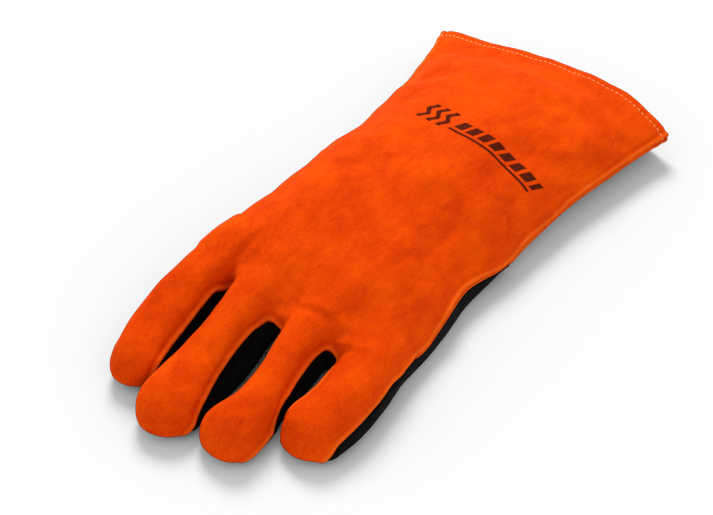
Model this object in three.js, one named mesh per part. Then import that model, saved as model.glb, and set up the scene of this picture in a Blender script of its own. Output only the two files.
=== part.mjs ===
// Heat resistant gauntlet glove, left hand, lying palm down with the thumb tucked under the palm.
// Millimetres. +Z is up, the fingers point towards -Y, the open cuff towards +Y,
// the index side is -X and the little-finger side is +X.
// "Top" and "back" mean the upper half of the glove, "bottom" and "palm" the lower half.
import * as THREE from 'three';

const { clamp, degToRad, lerp } = THREE.MathUtils;
const vec = (x, y, z) => new THREE.Vector3(x, y, z);

// ---------------------------------------------------------------- shell, lining and clearances
const LEATHER = 1.5;              // suede shell thickness
const LINING_DEPTH = 2.8;         // outer face of a finger lining below the outer face of the leather
const LINING = 1.6;               // lining thickness
const BODY_LINING_DEPTH = LINING_DEPTH + 1.8;   // the same depth in the hand and the cuff
const LINING_EXTRA = 1.4;         // further inset of the body linings at the sides and underneath
const LINING_TRIM = 0.4;          // finger and thumb linings stop this much short of the bends
const LINING_TIP_GAP = 5.2;       // lining end to the end of the centre line
const SHELL_TIP_GAP = 0.4;        // shell end to the end of the centre line
const FORK_TIP_GAP = 7;           // fork strip end to the end of the centre line
const SEAM_GAP = 0.45;            // clearance between neighbouring panels
const SEAM_OFFSET = SEAM_GAP / 2 + 0.1;   // side edge of a hand or cuff panel from the seam height
const JOINT_GAP = 0.6;            // clearance at each bending line, on each side
const SQUARENESS = { top: 2.3, bottom: 3.2 };   // superellipse powers of the section halves
const ORIGIN = [58, -8];          // palm rest point in the drafting plan, [x, y]

// bending lines: ranges in degrees
const KNUCKLE_RANGE = { min: -10, max: 65 };
const MIDDLE_RANGE = { min: 0, max: 70 };
const WRIST = { x: 12, y: 36, z: 24, min: -25, max: 25 };
const THUMB_BASE_RANGE = { min: 0, max: 40 };
const THUMB_MIDDLE_RANGE = { min: 0, max: 45 };

// ---------------------------------------------------------------- measured tables
// side outlines of hand and cuff:
// [y, x on index side, x on little side, seam z on index side, seam z on little side]
const SIDES = [
  [-82, -52.5, 79, 25, 10.5], [-64, -49.5, 78.5, 28, 10.5], [-45, -48, 77.5, 29, 10.5],
  [-25, -46.5, 75.5, 30, 10.5], [0, -47, 72, 29.5, 10.5], [14, -48, 72.5, 28.5, 10.5],
  [26, -50, 74.5, 27, 11], [38, -51.5, 76.5, 26, 12], [52, -51.5, 77, 24.5, 12.5],
  [70, -50.5, 77.5, 23, 13], [90, -52, 79, 22, 13.5], [110, -53.5, 81.5, 21, 14],
  [130, -56.5, 85, 20, 14], [150, -61.5, 88.5, 19.5, 14.5], [165, -65, 92, 19, 15],
  [180, -69.5, 96, 18.5, 15.5], [200, -76, 100, 18, 16],
];
// crown above the side seams:
// [y, edge rise, full-width arch, rounding radius of the upper edges, of the lower edges]
const CROWN = [
  [-100, 13, 0, 15, 4.5], [-82, 13, 1, 15, 4.5], [-60, 13.5, 5, 16, 4.5], [-30, 14, 9, 17, 4.5],
  [10, 14, 11, 18, 5], [40, 14, 12.5, 19, 9], [90, 13, 13, 20, 14], [150, 11.5, 10, 20, 17],
  [190, 9.5, 6.5, 20, 18], [204, 9, 6, 20, 18],
];
// hem line of the cuff: [x, y]
const HEM = [[-76, 197], [-40, 194.5], [0, 191.5], [40, 188.5], [80, 184.5], [99, 181]];

// fingers, from the index side to the little side; distances run along the centre line
//   line: [x, y, seam z, underside z]      halfWidths: [distance, half width]
//   crown: rise of the back above the seam at the start, middle and end
//   root, knuckle, middle: distances of the finger root and of the two bending lines
//   indexSide, littleSide: 'outer' has a side seam, 'fork' has a fork strip
const FINGERS = {
  index: {
    line: [
      [-36, -50, 28.5, 19], [-36.6, -70, 26, 16.5], [-37.6, -92, 21.5, 11.5],
      [-36.8, -118, 15, 4.5], [-35.8, -134, 11, 1], [-35.4, -150, 8, 0.4],
    ],
    halfWidths: [[0, 12.6], [20, 13.2], [42, 13.8], [68, 14], [85, 14], [101, 14]],
    crown: [14, 13.5, 12],
    root: 25, knuckle: 38, middle: 68,
    indexSide: 'outer', littleSide: 'fork',
  },
  middle: {
    line: [
      [-8, -62, 26, 14.5], [-7.6, -84, 23.5, 11.5], [-7, -105, 18.5, 6.5],
      [-4.8, -128, 13, 2], [-1.8, -148, 10, 0.5], [1, -167, 8, 0.4],
    ],
    halfWidths: [[0, 14], [20, 13], [43, 12.4], [60, 13.4], [74, 15.3], [87, 16.6], [105, 16.6]],
    crown: [14, 13.5, 12],
    root: 25, knuckle: 38, middle: 68,
    indexSide: 'fork', littleSide: 'fork',
  },
  ring: {
    line: [
      [28, -66, 21, 9.5], [28.6, -86, 19, 7], [31.4, -108, 15, 4],
      [34.4, -128, 12, 1.5], [35.4, -144, 10, 0.5], [34, -160.5, 8, 0.4],
    ],
    halfWidths: [[0, 13.4], [20, 12.4], [42, 11.8], [58, 12.6], [70, 14.7], [80, 15.9], [96, 15.9]],
    crown: [13.5, 13, 12],
    root: 21, knuckle: 33.5, middle: 61.5,
    indexSide: 'fork', littleSide: 'fork',
  },
  little: {
    line: [
      [61.5, -66, 13.5, 1.2], [62.8, -84, 13, 0.6], [64.4, -104, 12, 0.5],
      [64.3, -122, 10, 0.5], [63.4, -139, 8, 0.4],
    ],
    halfWidths: [[0, 14.4], [18, 14.8], [38, 15.5], [56, 15.8], [73, 15.8]],
    crown: [13, 12.5, 11.5],
    root: 16.5, knuckle: 27, middle: 48,
    indexSide: 'fork', littleSide: 'outer',
  },
};
const FINGER_TIP = {
  roundPerHalfWidth: 1.05, maxRound: 17,             // length of the rounded end
  minHalfWidth: 3, minAbove: 3, minBelow: 2.4,       // smallest section at the very tip
  seamDrop: 1,                                       // fall of the seam over the rounded end
};
// crotches between neighbouring fingers, from the index side: [x, y]
const CROTCHES = [[-22.4, -75], [10.6, -84], [44.4, -80.5]];

// angles in degrees round a finger section, 0 on the little side and 90 on top
const FORK_TOP = 20;                       // edge of the back panel next to a fork strip
const FORK_BOTTOM = -46;                   // edge of the palm panel next to a fork strip
const STRIP_BOTTOM = FORK_BOTTOM + 21;     // lower edge of the fork strip
const STRIP_TOP_GAP = 3.4;                 // back panel to fork strip along a finger
const CROTCH_TOP_GAP = 3.2;                // the same at a crotch
const FINGER_SEAM_GAP = 1.6;               // half the gap between panels at an outer side seam
const ROOT_SEAM_GAP = 2;                   // the same on the finger roots of the hand

// thumb, tucked under the index half of the palm; base and middle are bending line distances
const THUMB = {
  // [x, y, z] of the centre line
  line: [[-35, 34, 10.4], [-35.4, 16, 10.3], [-32.4, -6, 10.2], [-21.5, -30, 10.0], [-6, -48, 9.5]],
  // [distance, half width, half height]
  halfSizes: [[0, 14, 9.6], [20, 14.6, 9.8], [45, 14.2, 9.7], [70, 13.8, 9.5], [88, 13.8, 8.9]],
  base: 16, middle: 52,
  squareness: 2.4,
  tipRound: 14, minHalfWidth: 3, minHalfHeight: 2.6,
  cutHalfWidth: 14.5,                      // half width the bending clearances are worked out for
  panelEdges: [128, 300],                  // the back panel faces the index side and down
};

// ---------------------------------------------------------------- numeric helpers
// eased 0..1 between two limits, which may run downwards
function ease(from, to, value) {
  const t = clamp((value - from) / (to - from), 0, 1);
  return t * t * (3 - 2 * t);
}

const signedPower = (value, power) => Math.sign(value) * Math.pow(Math.abs(value), power);

// height of a superellipse quadrant at u = 0..1 from its middle
const superellipse = (u, power) => Math.pow(1 - Math.pow(u, power), 1 / power);

// smooth table lookup: column 0 is the key, all other columns are returned
function interpolate(table, key) {
  const last = table.length - 1;
  if (key <= table[0][0]) return table[0].slice(1);
  if (key >= table[last][0]) return table[last].slice(1);
  let i = 0;
  while (key > table[i + 1][0]) i++;
  const span = table[i + 1][0] - table[i][0];
  const t = (key - table[i][0]) / span;
  const t2 = t * t;
  const t3 = t2 * t;
  const tangent = (row, column) => {
    const before = table[Math.max(row - 1, 0)];
    const after = table[Math.min(row + 1, last)];
    return span * (after[column] - before[column]) / (after[0] - before[0]);
  };
  return table[i].slice(1).map((start, k) => {
    const column = k + 1;
    return (2 * t3 - 3 * t2 + 1) * start + (t3 - 2 * t2 + t) * tangent(i, column)
      + (-2 * t3 + 3 * t2) * table[i + 1][column] + (t3 - t2) * tangent(i + 1, column);
  });
}

// ---------------------------------------------------------------- mesh helpers
function makeGeometry(points, triangles) {
  const geometry = new THREE.BufferGeometry();
  const positions = points.flatMap((p) => [p.x, p.y, p.z]);
  geometry.setAttribute('position', new THREE.Float32BufferAttribute(positions, 3));
  geometry.setIndex(triangles);
  geometry.computeVertexNormals();
  return geometry;
}

const splitQuad = (a, b, c, d) => [a, b, c, a, c, d];

// Closed body from outer points and outward-wound quads, thickened inward.
// level: points whose thickness runs level; upright: points whose thickness runs straight up.
function sheet(points, quads, { thickness = LEATHER, inset = 0, level = [], upright = [] }) {
  const normals = points.map(() => vec(0, 0, 0));
  for (const quad of quads) {
    const [a, b, c, d] = quad.map((i) => points[i]);
    const normal = c.clone().sub(a).cross(d.clone().sub(b));
    for (const i of quad) normals[i].add(normal);
  }
  normals.forEach((normal) => normal.normalize());
  for (const i of level) normals[i].setZ(0).normalize();
  for (const i of upright) normals[i].set(0, 0, Math.sign(normals[i].z));

  const layer = (depth) => points.map((p, i) => p.clone().addScaledVector(normals[i], -depth));
  const count = points.length;
  const triangles = [];
  const openEdges = new Map();
  for (const quad of quads) {
    const [a, b, c, d] = quad;
    triangles.push(a, b, c, a, c, d);
    triangles.push(count + a, count + c, count + b, count + a, count + d, count + c);
    quad.forEach((start, k) => {
      const end = quad[(k + 1) % 4];
      const twin = `${end}_${start}`;
      if (openEdges.has(twin)) openEdges.delete(twin);
      else openEdges.set(`${start}_${end}`, [start, end]);
    });
  }
  for (const [start, end] of openEdges.values()) {
    triangles.push(...splitQuad(start, count + start, count + end, end));
  }
  return makeGeometry([...layer(inset), ...layer(inset + thickness)], triangles);
}

// Sheet from rows of points. closed joins the last column to the first;
// edges gives 'level' or 'upright' for the first and last column; allLevel levels every point.
function gridSheet(rows, options = {}) {
  const { flip = false, closed = false, edges = [], allLevel = false, thickness, inset } = options;
  const columns = rows[0].length;
  const points = rows.flat();
  const quads = [];
  for (let i = 0; i < rows.length - 1; i++) {
    for (let j = 0; j < (closed ? columns : columns - 1); j++) {
      const a = i * columns + j;
      const b = i * columns + ((j + 1) % columns);
      const c = b + columns;
      const d = a + columns;
      quads.push(flip ? [a, d, c, b] : [a, b, c, d]);
    }
  }
  const columnPoints = (column) => rows.map((_, i) => i * columns + column);
  const marked = { level: allLevel ? [...points.keys()] : [], upright: [] };
  edges.forEach((mark, k) => marked[mark].push(...columnPoints(k ? columns - 1 : 0)));
  return sheet(points, quads, { thickness, inset, ...marked });
}

// Panel of a finger or thumb between two angles in degrees. startAt and endAt give the distances
// of its ends at an angle; toTip sets the rows closer towards the tip.
function tubePanel({ pointAt, startAt, endAt, toTip, angles, columns, rows, ...options }) {
  const spans = options.closed ? columns : columns - 1;
  const grid = [];
  for (let i = 0; i < rows; i++) {
    const even = i / (rows - 1);
    const t = toTip ? Math.pow(even, 0.72) : even;
    const row = [];
    for (let j = 0; j < columns; j++) {
      const angle = degToRad(lerp(angles[0], angles[1], j / spans));
      row.push(pointAt(lerp(startAt(angle), endAt(angle), t), angle));
    }
    grid.push(row);
  }
  return gridSheet(grid, options);
}

// ---------------------------------------------------------------- hand and cuff surface
function sideOf(y) {
  const [xIndex, xLittle, zIndex, zLittle] = interpolate(SIDES, y);
  const [rise, arch, topRound, bottomRound] = interpolate(CROWN, y);
  return { xIndex, xLittle, zIndex, zLittle, rise, arch, topRound, bottomRound };
}

const xAcross = (side, fraction) => lerp(side.xIndex, side.xLittle, fraction);

// how far a point lies inside the side outlines and the crotches
function outlineDistance(x, y, side) {
  const toCrotches = CROTCHES.map(([cx, cy]) => Math.hypot(x - cx, y - cy));
  return Math.max(0, Math.min(x - side.xIndex, side.xLittle - x, ...toCrotches));
}

function seamHeight(x, side) {
  const across = clamp((x - side.xIndex) / (side.xLittle - side.xIndex), 0, 1);
  return lerp(side.zIndex, side.zLittle, across);
}

// underside, lifted over the tucked thumb
function undersideHeight(x, y) {
  const overThumb = ease(47, 25, x) * ease(56, 26, y);
  return overThumb * lerp(21.5, 17.5, ease(-42, -72, y));
}

function topPoint(x, y) {
  const side = sideOf(y);
  const u = clamp(1 - outlineDistance(x, y, side) / side.topRound, 0, 1);
  const across = (2 * x - side.xIndex - side.xLittle) / (side.xLittle - side.xIndex);
  const crown = side.rise + side.arch * (1 - across * across);
  return vec(x, y, seamHeight(x, side) + crown * superellipse(u, SQUARENESS.top));
}

function bottomPoint(x, y) {
  const side = sideOf(y);
  const u = clamp(1 - outlineDistance(x, y, side) / side.bottomRound, 0, 1);
  const seam = seamHeight(x, side);
  const depth = seam - Math.max(0, undersideHeight(x, y));
  return vec(x, y, seam - depth * superellipse(u, SQUARENESS.bottom));
}

const surfaceOf = (isTop) => (isTop ? topPoint : bottomPoint);

// y of a panel's wrist edge, cut back from the wrist line by its height at sampleY;
// direction is +1 for the cuff and -1 for the hand
function wristEdgeY(isTop, across, sampleY, direction) {
  const { z } = surfaceOf(isTop)(xAcross(sideOf(sampleY), across), sampleY);
  const slope = Math.tan(degToRad(WRIST.max / 2)) * 1.04;
  return WRIST.y + direction * (JOINT_GAP + Math.abs(z - WRIST.z) * slope);
}

// fraction across a panel, with the columns drawn towards both sides
const crowdToSides = (u, amount) => lerp(u, (1 - Math.cos(Math.PI * u)) / 2, amount);

// surface point moved off the seam height, for the side edges of a panel
function panelEdgePoint(isTop, x, y) {
  const point = surfaceOf(isTop)(x, y);
  point.z += isTop ? SEAM_OFFSET : -SEAM_OFFSET;
  return point;
}

// ---------------------------------------------------------------- finger and thumb surface
// table keyed by the running plan distance: [distance, ...point]
function measureLine(line) {
  let distance = 0;
  return line.map((point, i) => {
    if (i) distance += Math.hypot(point[0] - line[i - 1][0], point[1] - line[i - 1][1]);
    return [distance, ...point];
  });
}

const lengthOf = (track) => track[track.length - 1][0];

// level unit vector square to the centre line, towards the little side
function sideDirection(track, distance) {
  const reach = 0.5;
  const [xAhead, yAhead] = interpolate(track, Math.min(lengthOf(track), distance + reach));
  const [xBehind, yBehind] = interpolate(track, Math.max(0, distance - reach));
  const span = Math.hypot(xAhead - xBehind, yAhead - yBehind);
  return vec(-(yAhead - yBehind) / span, (xAhead - xBehind) / span, 0);
}

// size factor that rounds off the last part of a finger or thumb
function tipFactor(distance, length, round) {
  const start = length - round;
  if (distance <= start) return 1;
  return Math.sqrt(Math.max(0, 1 - Math.pow((distance - start) / round, 2.2)));
}

function makeFinger(name, design) {
  const track = measureLine(design.line);
  const length = lengthOf(track);
  const crownTable = design.crown.map((rise, i) => [length * i / 2, rise]);

  function sectionAt(distance) {
    const [x, y, lineSeam, underside] = interpolate(track, distance);
    const [halfWidth] = interpolate(design.halfWidths, distance);
    const [crown] = interpolate(crownTable, distance);
    const round = Math.min(halfWidth * FINGER_TIP.roundPerHalfWidth, FINGER_TIP.maxRound);
    const widthFactor = tipFactor(distance, length, round);
    const heightFactor = Math.pow(widthFactor, 0.8);
    return {
      x,
      y,
      side: sideDirection(track, distance),
      halfWidth: Math.max(FINGER_TIP.minHalfWidth, halfWidth * widthFactor),
      seam: lineSeam - (1 - heightFactor) * FINGER_TIP.seamDrop,
      above: Math.max(FINGER_TIP.minAbove, crown * heightFactor),
      below: Math.max(FINGER_TIP.minBelow, (lineSeam - underside) * heightFactor),
    };
  }

  function pointAt(distance, angle) {
    const section = sectionAt(distance);
    const isTop = Math.sin(angle) >= 0;
    const power = 2 / (isTop ? SQUARENESS.top : SQUARENESS.bottom);
    const outward = section.halfWidth * signedPower(Math.cos(angle), power);
    const upward = (isTop ? section.above : section.below) * signedPower(Math.sin(angle), power);
    return vec(
      section.x + section.side.x * outward,
      section.y + section.side.y * outward,
      section.seam + upward,
    );
  }

  // bending line across the finger, a little below the middle of its height
  function makeHinge(distance, range) {
    const { x, y, side, seam, above, below } = sectionAt(distance);
    const position = vec(x, y, seam - below + 0.46 * (above + below));
    return { distance, range, position, axis: side };
  }

  return {
    name,
    length,
    root: design.root,
    indexSide: design.indexSide,
    littleSide: design.littleSide,
    sectionAt,
    pointAt,
    knuckle: makeHinge(design.knuckle, KNUCKLE_RANGE),
    middle: makeHinge(design.middle, MIDDLE_RANGE),
  };
}

const fingers = Object.entries(FINGERS).map(([name, design]) => makeFinger(name, design));

// clearance from a bending line at height z, growing away from its axis
function hingeClearance(z, { position, range }) {
  const above = z - position.z;
  if (above < 0) return JOINT_GAP - above * Math.tan(degToRad(range.max / 2));
  return JOINT_GAP + above * Math.tan(degToRad(-range.min / 2) + 0.02);
}

// angles of the panel edges on both sides of a finger; outerGap is used at an outer side seam
function panelAngles(finger, outerGap) {
  const indexOuter = finger.indexSide === 'outer';
  const littleOuter = finger.littleSide === 'outer';
  return {
    backIndex: 180 - (indexOuter ? outerGap : FORK_TOP),
    backLittle: littleOuter ? outerGap : FORK_TOP,
    palmIndex: 180 + (indexOuter ? outerGap : -FORK_BOTTOM),
    palmLittle: 360 - (littleOuter ? outerGap : -FORK_BOTTOM),
  };
}

// ---------------------------------------------------------------- materials and groups
const makeMaterial = ({ color, roughness }) => (
  new THREE.MeshStandardMaterial({ color, roughness, metalness: 0 })
);
const suede = () => makeMaterial({ color: 0xe85212, roughness: 0.92 });
const black = () => makeMaterial({ color: 0x17130f, roughness: 0.85 });
const cotton = () => makeMaterial({ color: 0xd9cdb4, roughness: 0.98 });
const thread = () => makeMaterial({ color: 0xf08a3c, roughness: 0.7 });

const group = new THREE.Group();
const plan = new THREE.Group();            // drafting plan, moved so ORIGIN lands on x = y = 0
plan.position.set(-ORIGIN[0], -ORIGIN[1], 0);
group.add(plan);
const bodies = {};                         // one group per rigid body

function addMesh(bodyName, name, geometry, material) {
  if (!bodies[bodyName]) {
    bodies[bodyName] = new THREE.Group();
    plan.add(bodies[bodyName]);
  }
  const mesh = new THREE.Mesh(geometry, material);
  mesh.name = name;
  bodies[bodyName].add(mesh);
}

// ---------------------------------------------------------------- hand: back and palm panels
const ROOT_SPANS = 4;                                       // columns of quads per finger
const HAND_ROW_FRACTIONS = [0, 0.16, 0.36, 0.56, 0.74, 0.88];   // from wrist to finger roots

// row of points across a finger root; t = 0 at the root, 1 at the knuckle line
function fingerRootRow(finger, isTop, t) {
  const angles = panelAngles(finger, ROOT_SEAM_GAP);
  const first = isTop ? angles.backIndex : angles.palmIndex;
  const last = isTop ? angles.backLittle : angles.palmLittle;
  const { root, knuckle, pointAt } = finger;
  const row = [];
  for (let j = 0; j <= ROOT_SPANS; j++) {
    const angle = degToRad(lerp(first, last, j / ROOT_SPANS));
    const clearance = hingeClearance(pointAt(knuckle.distance, angle).z, knuckle);
    const end = Math.max(knuckle.distance - clearance, root + 1);
    row.push(pointAt(lerp(root, end, t), angle));
  }
  return row;
}

// row through all finger roots, with a crotch point between neighbours
function handFrontRow(isTop) {
  const row = [];
  const rootStarts = [];
  fingers.forEach((finger, n) => {
    const rootRow = fingerRootRow(finger, isTop, 0);
    if (n) {
      const [x, y] = CROTCHES[n - 1];
      row.push(vec(x, y, (row[row.length - 1].z + rootRow[0].z) / 2));
    }
    rootStarts.push(row.length);
    row.push(...rootRow);
  });
  return { row, rootStarts };
}

// row of the hand panel at fraction t from the wrist edge to the front row
function handRow(isTop, front, t) {
  const last = front.length - 1;
  return front.map((frontPoint, i) => {
    const across = crowdToSides(i / last, 0.55);
    const y = lerp(wristEdgeY(isTop, across, 30, -1), frontPoint.y, t);
    const side = sideOf(y);
    if (i === 0) return panelEdgePoint(isTop, side.xIndex, y);
    if (i === last) return panelEdgePoint(isTop, side.xLittle, y);
    const x = lerp(xAcross(side, across), frontPoint.x, Math.pow(t, 1.6));
    return surfaceOf(isTop)(x, y);
  });
}

function handPanel(isTop) {
  const { row: front, rootStarts } = handFrontRow(isTop);
  const columns = front.length;
  const backRows = HAND_ROW_FRACTIONS.map((t) => handRow(isTop, front, t));
  const points = [...backRows.flat(), ...front];
  const frontStart = backRows.length * columns;
  const quads = [];
  const level = [];
  const upright = [];
  const forkMarks = isTop ? level : upright;
  const addQuad = (a, b, c, d) => quads.push(isTop ? [a, d, c, b] : [a, b, c, d]);

  backRows.forEach((_, i) => {
    const start = i * columns;
    level.push(start, start + columns - 1);
    for (let a = start; a < start + columns - 1; a++) addQuad(a, a + 1, a + 1 + columns, a + columns);
  });

  // finger roots, from the front row to the knuckle line
  fingers.forEach((finger, n) => {
    const indexMarks = n === 0 ? level : forkMarks;
    const littleMarks = n === fingers.length - 1 ? level : forkMarks;
    let previous = frontStart + rootStarts[n];
    if (n === 0) level.push(previous);
    if (n === fingers.length - 1) level.push(previous + ROOT_SPANS);
    for (const t of [0.5, 1]) {
      const next = points.length;
      points.push(...fingerRootRow(finger, isTop, t));
      indexMarks.push(next);
      littleMarks.push(next + ROOT_SPANS);
      for (let j = 0; j < ROOT_SPANS; j++) {
        addQuad(previous + j, previous + j + 1, next + j + 1, next + j);
      }
      previous = next;
    }
  });

  // crotch points and their neighbours
  for (const start of rootStarts.slice(1)) {
    const crotch = frontStart + start - 1;
    forkMarks.push(crotch - 1, crotch, crotch + 1);
  }
  return sheet(points, quads, { level, upright });
}

// fork strip round a crotch: one upright band from finger root to finger root
function crotchBand(n) {
  // upper and lower edge points of the band on one side of a finger
  const edgePair = (finger, onIndexSide, distance) => (
    [FORK_TOP - CROTCH_TOP_GAP, STRIP_BOTTOM].map((angle) => (
      finger.pointAt(distance, degToRad(onIndexSide ? 180 - angle : angle))
    ))
  );
  // edge pairs from the root to the knuckle line
  const rootPairs = (finger, onIndexSide) => {
    const { root, knuckle } = finger;
    const end = knuckle.distance - hingeClearance(knuckle.position.z - 7, knuckle);
    return [root + 0.5, lerp(root, end, 0.5), end].map((d) => edgePair(finger, onIndexSide, d));
  };
  const near = fingers[n];
  const far = fingers[n + 1];
  const nearRoot = edgePair(near, false, near.root);
  const farRoot = edgePair(far, true, far.root);
  const [x, y] = CROTCHES[n];
  const crotchPair = nearRoot.map((point, k) => vec(x, y, (point.z + farRoot[k].z) / 2));
  const path = [...rootPairs(near, false).reverse(), crotchPair, ...rootPairs(far, true)];
  const rows = path.map(([upper, lower]) => [upper, upper.clone().lerp(lower, 0.5), lower]);
  return gridSheet(rows, { allLevel: true });
}

// ---------------------------------------------------------------- cuff panels
const CUFF_COLUMNS = 17;
const CUFF_ROW_FRACTIONS = [0, 0.17, 0.36, 0.55, 0.73, 0.88, 1];   // from wrist to hem

const hemY = (x) => interpolate(HEM, x)[0];

function cuffPanel(isTop) {
  const hemSide = sideOf(195);
  const rows = CUFF_ROW_FRACTIONS.map((t) => {
    const row = [];
    for (let i = 0; i < CUFF_COLUMNS; i++) {
      const across = crowdToSides(i / (CUFF_COLUMNS - 1), 0.6);
      const y = lerp(wristEdgeY(isTop, across, 42, 1), hemY(xAcross(hemSide, across)), t);
      const x = xAcross(sideOf(y), across);
      const isEdge = i === 0 || i === CUFF_COLUMNS - 1;
      row.push(isEdge ? panelEdgePoint(isTop, x, y) : surfaceOf(isTop)(x, y));
    }
    return row;
  });
  return gridSheet(rows, { flip: !isTop, edges: ['level', 'level'] });
}

// ---------------------------------------------------------------- hand and cuff rings
// closed ring of section points, moved inward by inset (outward when negative);
// station is a y value, or a function giving y at an x
function ringAt(station, inset, count) {
  const extra = inset > 0 ? LINING_EXTRA : 0;
  const ring = [];
  for (let i = 0; i < count; i++) {
    const angle = (2 * Math.PI * i) / count;
    const upward = Math.sin(angle);
    const outward = signedPower(Math.cos(angle), 0.8);
    const xOn = (side, sideInset) => {
      const halfWidth = (side.xLittle - side.xIndex) / 2;
      return (side.xIndex + side.xLittle) / 2 + (halfWidth - sideInset) * outward;
    };
    const y = typeof station === 'number' ? station : station(xOn(sideOf(150), 0));
    const side = sideOf(y);
    const x = xOn(side, inset + extra);
    const zTop = topPoint(x, y).z;
    const zBottom = bottomPoint(x, y).z;
    const zMiddle = (zTop + zBottom) / 2;
    const z = upward >= 0
      ? Math.max(zMiddle + 0.01, zTop - inset)
      : Math.min(zMiddle - 0.01, zBottom + inset + extra);
    // near the sides the ring eases back to the seam height
    ring.push(vec(x, y, lerp(seamHeight(x, side), z, clamp(Math.abs(upward) * 3, 0, 1))));
  }
  return ring;
}

// open-ended lining tube through the stations
function liningTube(stations) {
  const count = 30;
  const layer = (inset) => stations.flatMap((station) => ringAt(station, inset, count));
  const inner = stations.length * count;   // index of the first inner point
  const last = inner - count;              // index of the last outer ring
  const triangles = [];
  const addQuad = (...corners) => triangles.push(...splitQuad(...corners));
  for (let j = 0; j < count; j++) {
    const next = (j + 1) % count;
    for (let ring = 0; ring < last; ring += count) {
      const a = ring + j;
      const b = ring + next;
      addQuad(a, a + count, b + count, b);
      addQuad(inner + a, inner + b, inner + b + count, inner + a + count);
    }
    addQuad(j, next, inner + next, inner + j);
    addQuad(last + j, inner + last + j, inner + last + next, last + next);
  }
  return makeGeometry([...layer(BODY_LINING_DEPTH), ...layer(BODY_LINING_DEPTH + LINING)], triangles);
}

// one continuous thread lying on the outer face, all round the cuff
function hemThread() {
  const count = 44;
  const fromHem = 5;
  const halfWidth = 0.5;
  const [low, high] = [0.5, 1.2];          // faces of the thread above the leather
  const corners = [[-halfWidth, low], [halfWidth, low], [halfWidth, high], [-halfWidth, high]];
  const points = corners.flatMap(([along, height]) => (
    ringAt((x) => hemY(x) - fromHem + along, -height, count)
  ));
  const triangles = [];
  for (let k = 0; k < 4; k++) {
    const ring = k * count;
    const nextRing = ((k + 1) % 4) * count;
    for (let j = 0; j < count; j++) {
      const next = (j + 1) % count;
      triangles.push(...splitQuad(ring + j, ring + next, nextRing + next, nextRing + j));
    }
  }
  return makeGeometry(points, triangles);
}

// ---------------------------------------------------------------- side welts
const WELT = { offset: 0.8, width: 1.3, height: 1.2 };

// leather strip caught in a side seam, standing just outside it
function welt(onIndexSide, stations) {
  const outward = onIndexSide ? -1 : 1;
  const [near, far] = [WELT.offset, WELT.offset + WELT.width];
  const half = WELT.height / 2;
  const corners = [[near, -half], [far, -half], [far, half], [near, half]];
  const points = stations.flatMap((y) => {
    const side = sideOf(y);
    const x = onIndexSide ? side.xIndex : side.xLittle;
    const z = onIndexSide ? side.zIndex : side.zLittle;
    return corners.map(([out, up]) => vec(x + outward * out, y, z + up));
  });
  // the winding depends on which way the stations run
  const forward = (stations[1] - stations[0]) * outward < 0;
  const triangles = [];
  const addQuad = (a, b, c, d) => triangles.push(...(forward ? [a, b, c, a, c, d] : [a, c, b, a, d, c]));
  const end = (stations.length - 1) * 4;
  for (let start = 0; start < end; start += 4) {
    for (let k = 0; k < 4; k++) {
      const a = start + k;
      const b = start + ((k + 1) % 4);
      addQuad(a, b, b + 4, a + 4);
    }
  }
  addQuad(3, 2, 1, 0);
  addQuad(end, end + 1, end + 2, end + 3);
  return makeGeometry(points, triangles);
}

// ---------------------------------------------------------------- hand and cuff bodies
function addHand() {
  addMesh('hand', 'hand_back_panel', handPanel(true), suede());
  addMesh('hand', 'hand_palm_panel', handPanel(false), black());
  CROTCHES.forEach((_, n) => {
    const name = `fork_crotch_${fingers[n].name}_${fingers[n + 1].name}`;
    addMesh('hand', name, crotchBand(n), black());
  });
  addMesh('hand', 'hand_lining', liningTube([-60, -48, -30, -10, 10, 26]), cotton());
  const indexWelt = welt(true, [30, 16, 0, -16, -32, -48]);
  const littleWelt = welt(false, [30, 16, 0, -16, -32, -52]);
  addMesh('hand', 'hand_welt_index_side', indexWelt, suede());
  addMesh('hand', 'hand_welt_little_side', littleWelt, suede());
}

function addCuff() {
  addMesh('cuff', 'cuff_back_panel', cuffPanel(true), suede());
  addMesh('cuff', 'cuff_underside_panel', cuffPanel(false), suede());
  const liningEnd = (x) => hemY(x) - 9;
  addMesh('cuff', 'cuff_lining', liningTube([46, 75, 105, 135, 160, liningEnd]), cotton());
  addMesh('cuff', 'hem_stitching', hemThread(), thread());
  const indexWelt = welt(true, [44, 70, 96, 122, 148, 172, 184]);
  const littleWelt = welt(false, [44, 70, 96, 122, 148, 170]);
  addMesh('cuff', 'cuff_welt_index_side', indexWelt, suede());
  addMesh('cuff', 'cuff_welt_little_side', littleWelt, suede());
}

// ---------------------------------------------------------------- fingers
// options shared by all lining tubes of fingers and thumb
const LINING_TUBE = {
  angles: [0, 360], columns: 14, rows: 4, closed: true, inset: LINING_DEPTH, thickness: LINING,
};

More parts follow.
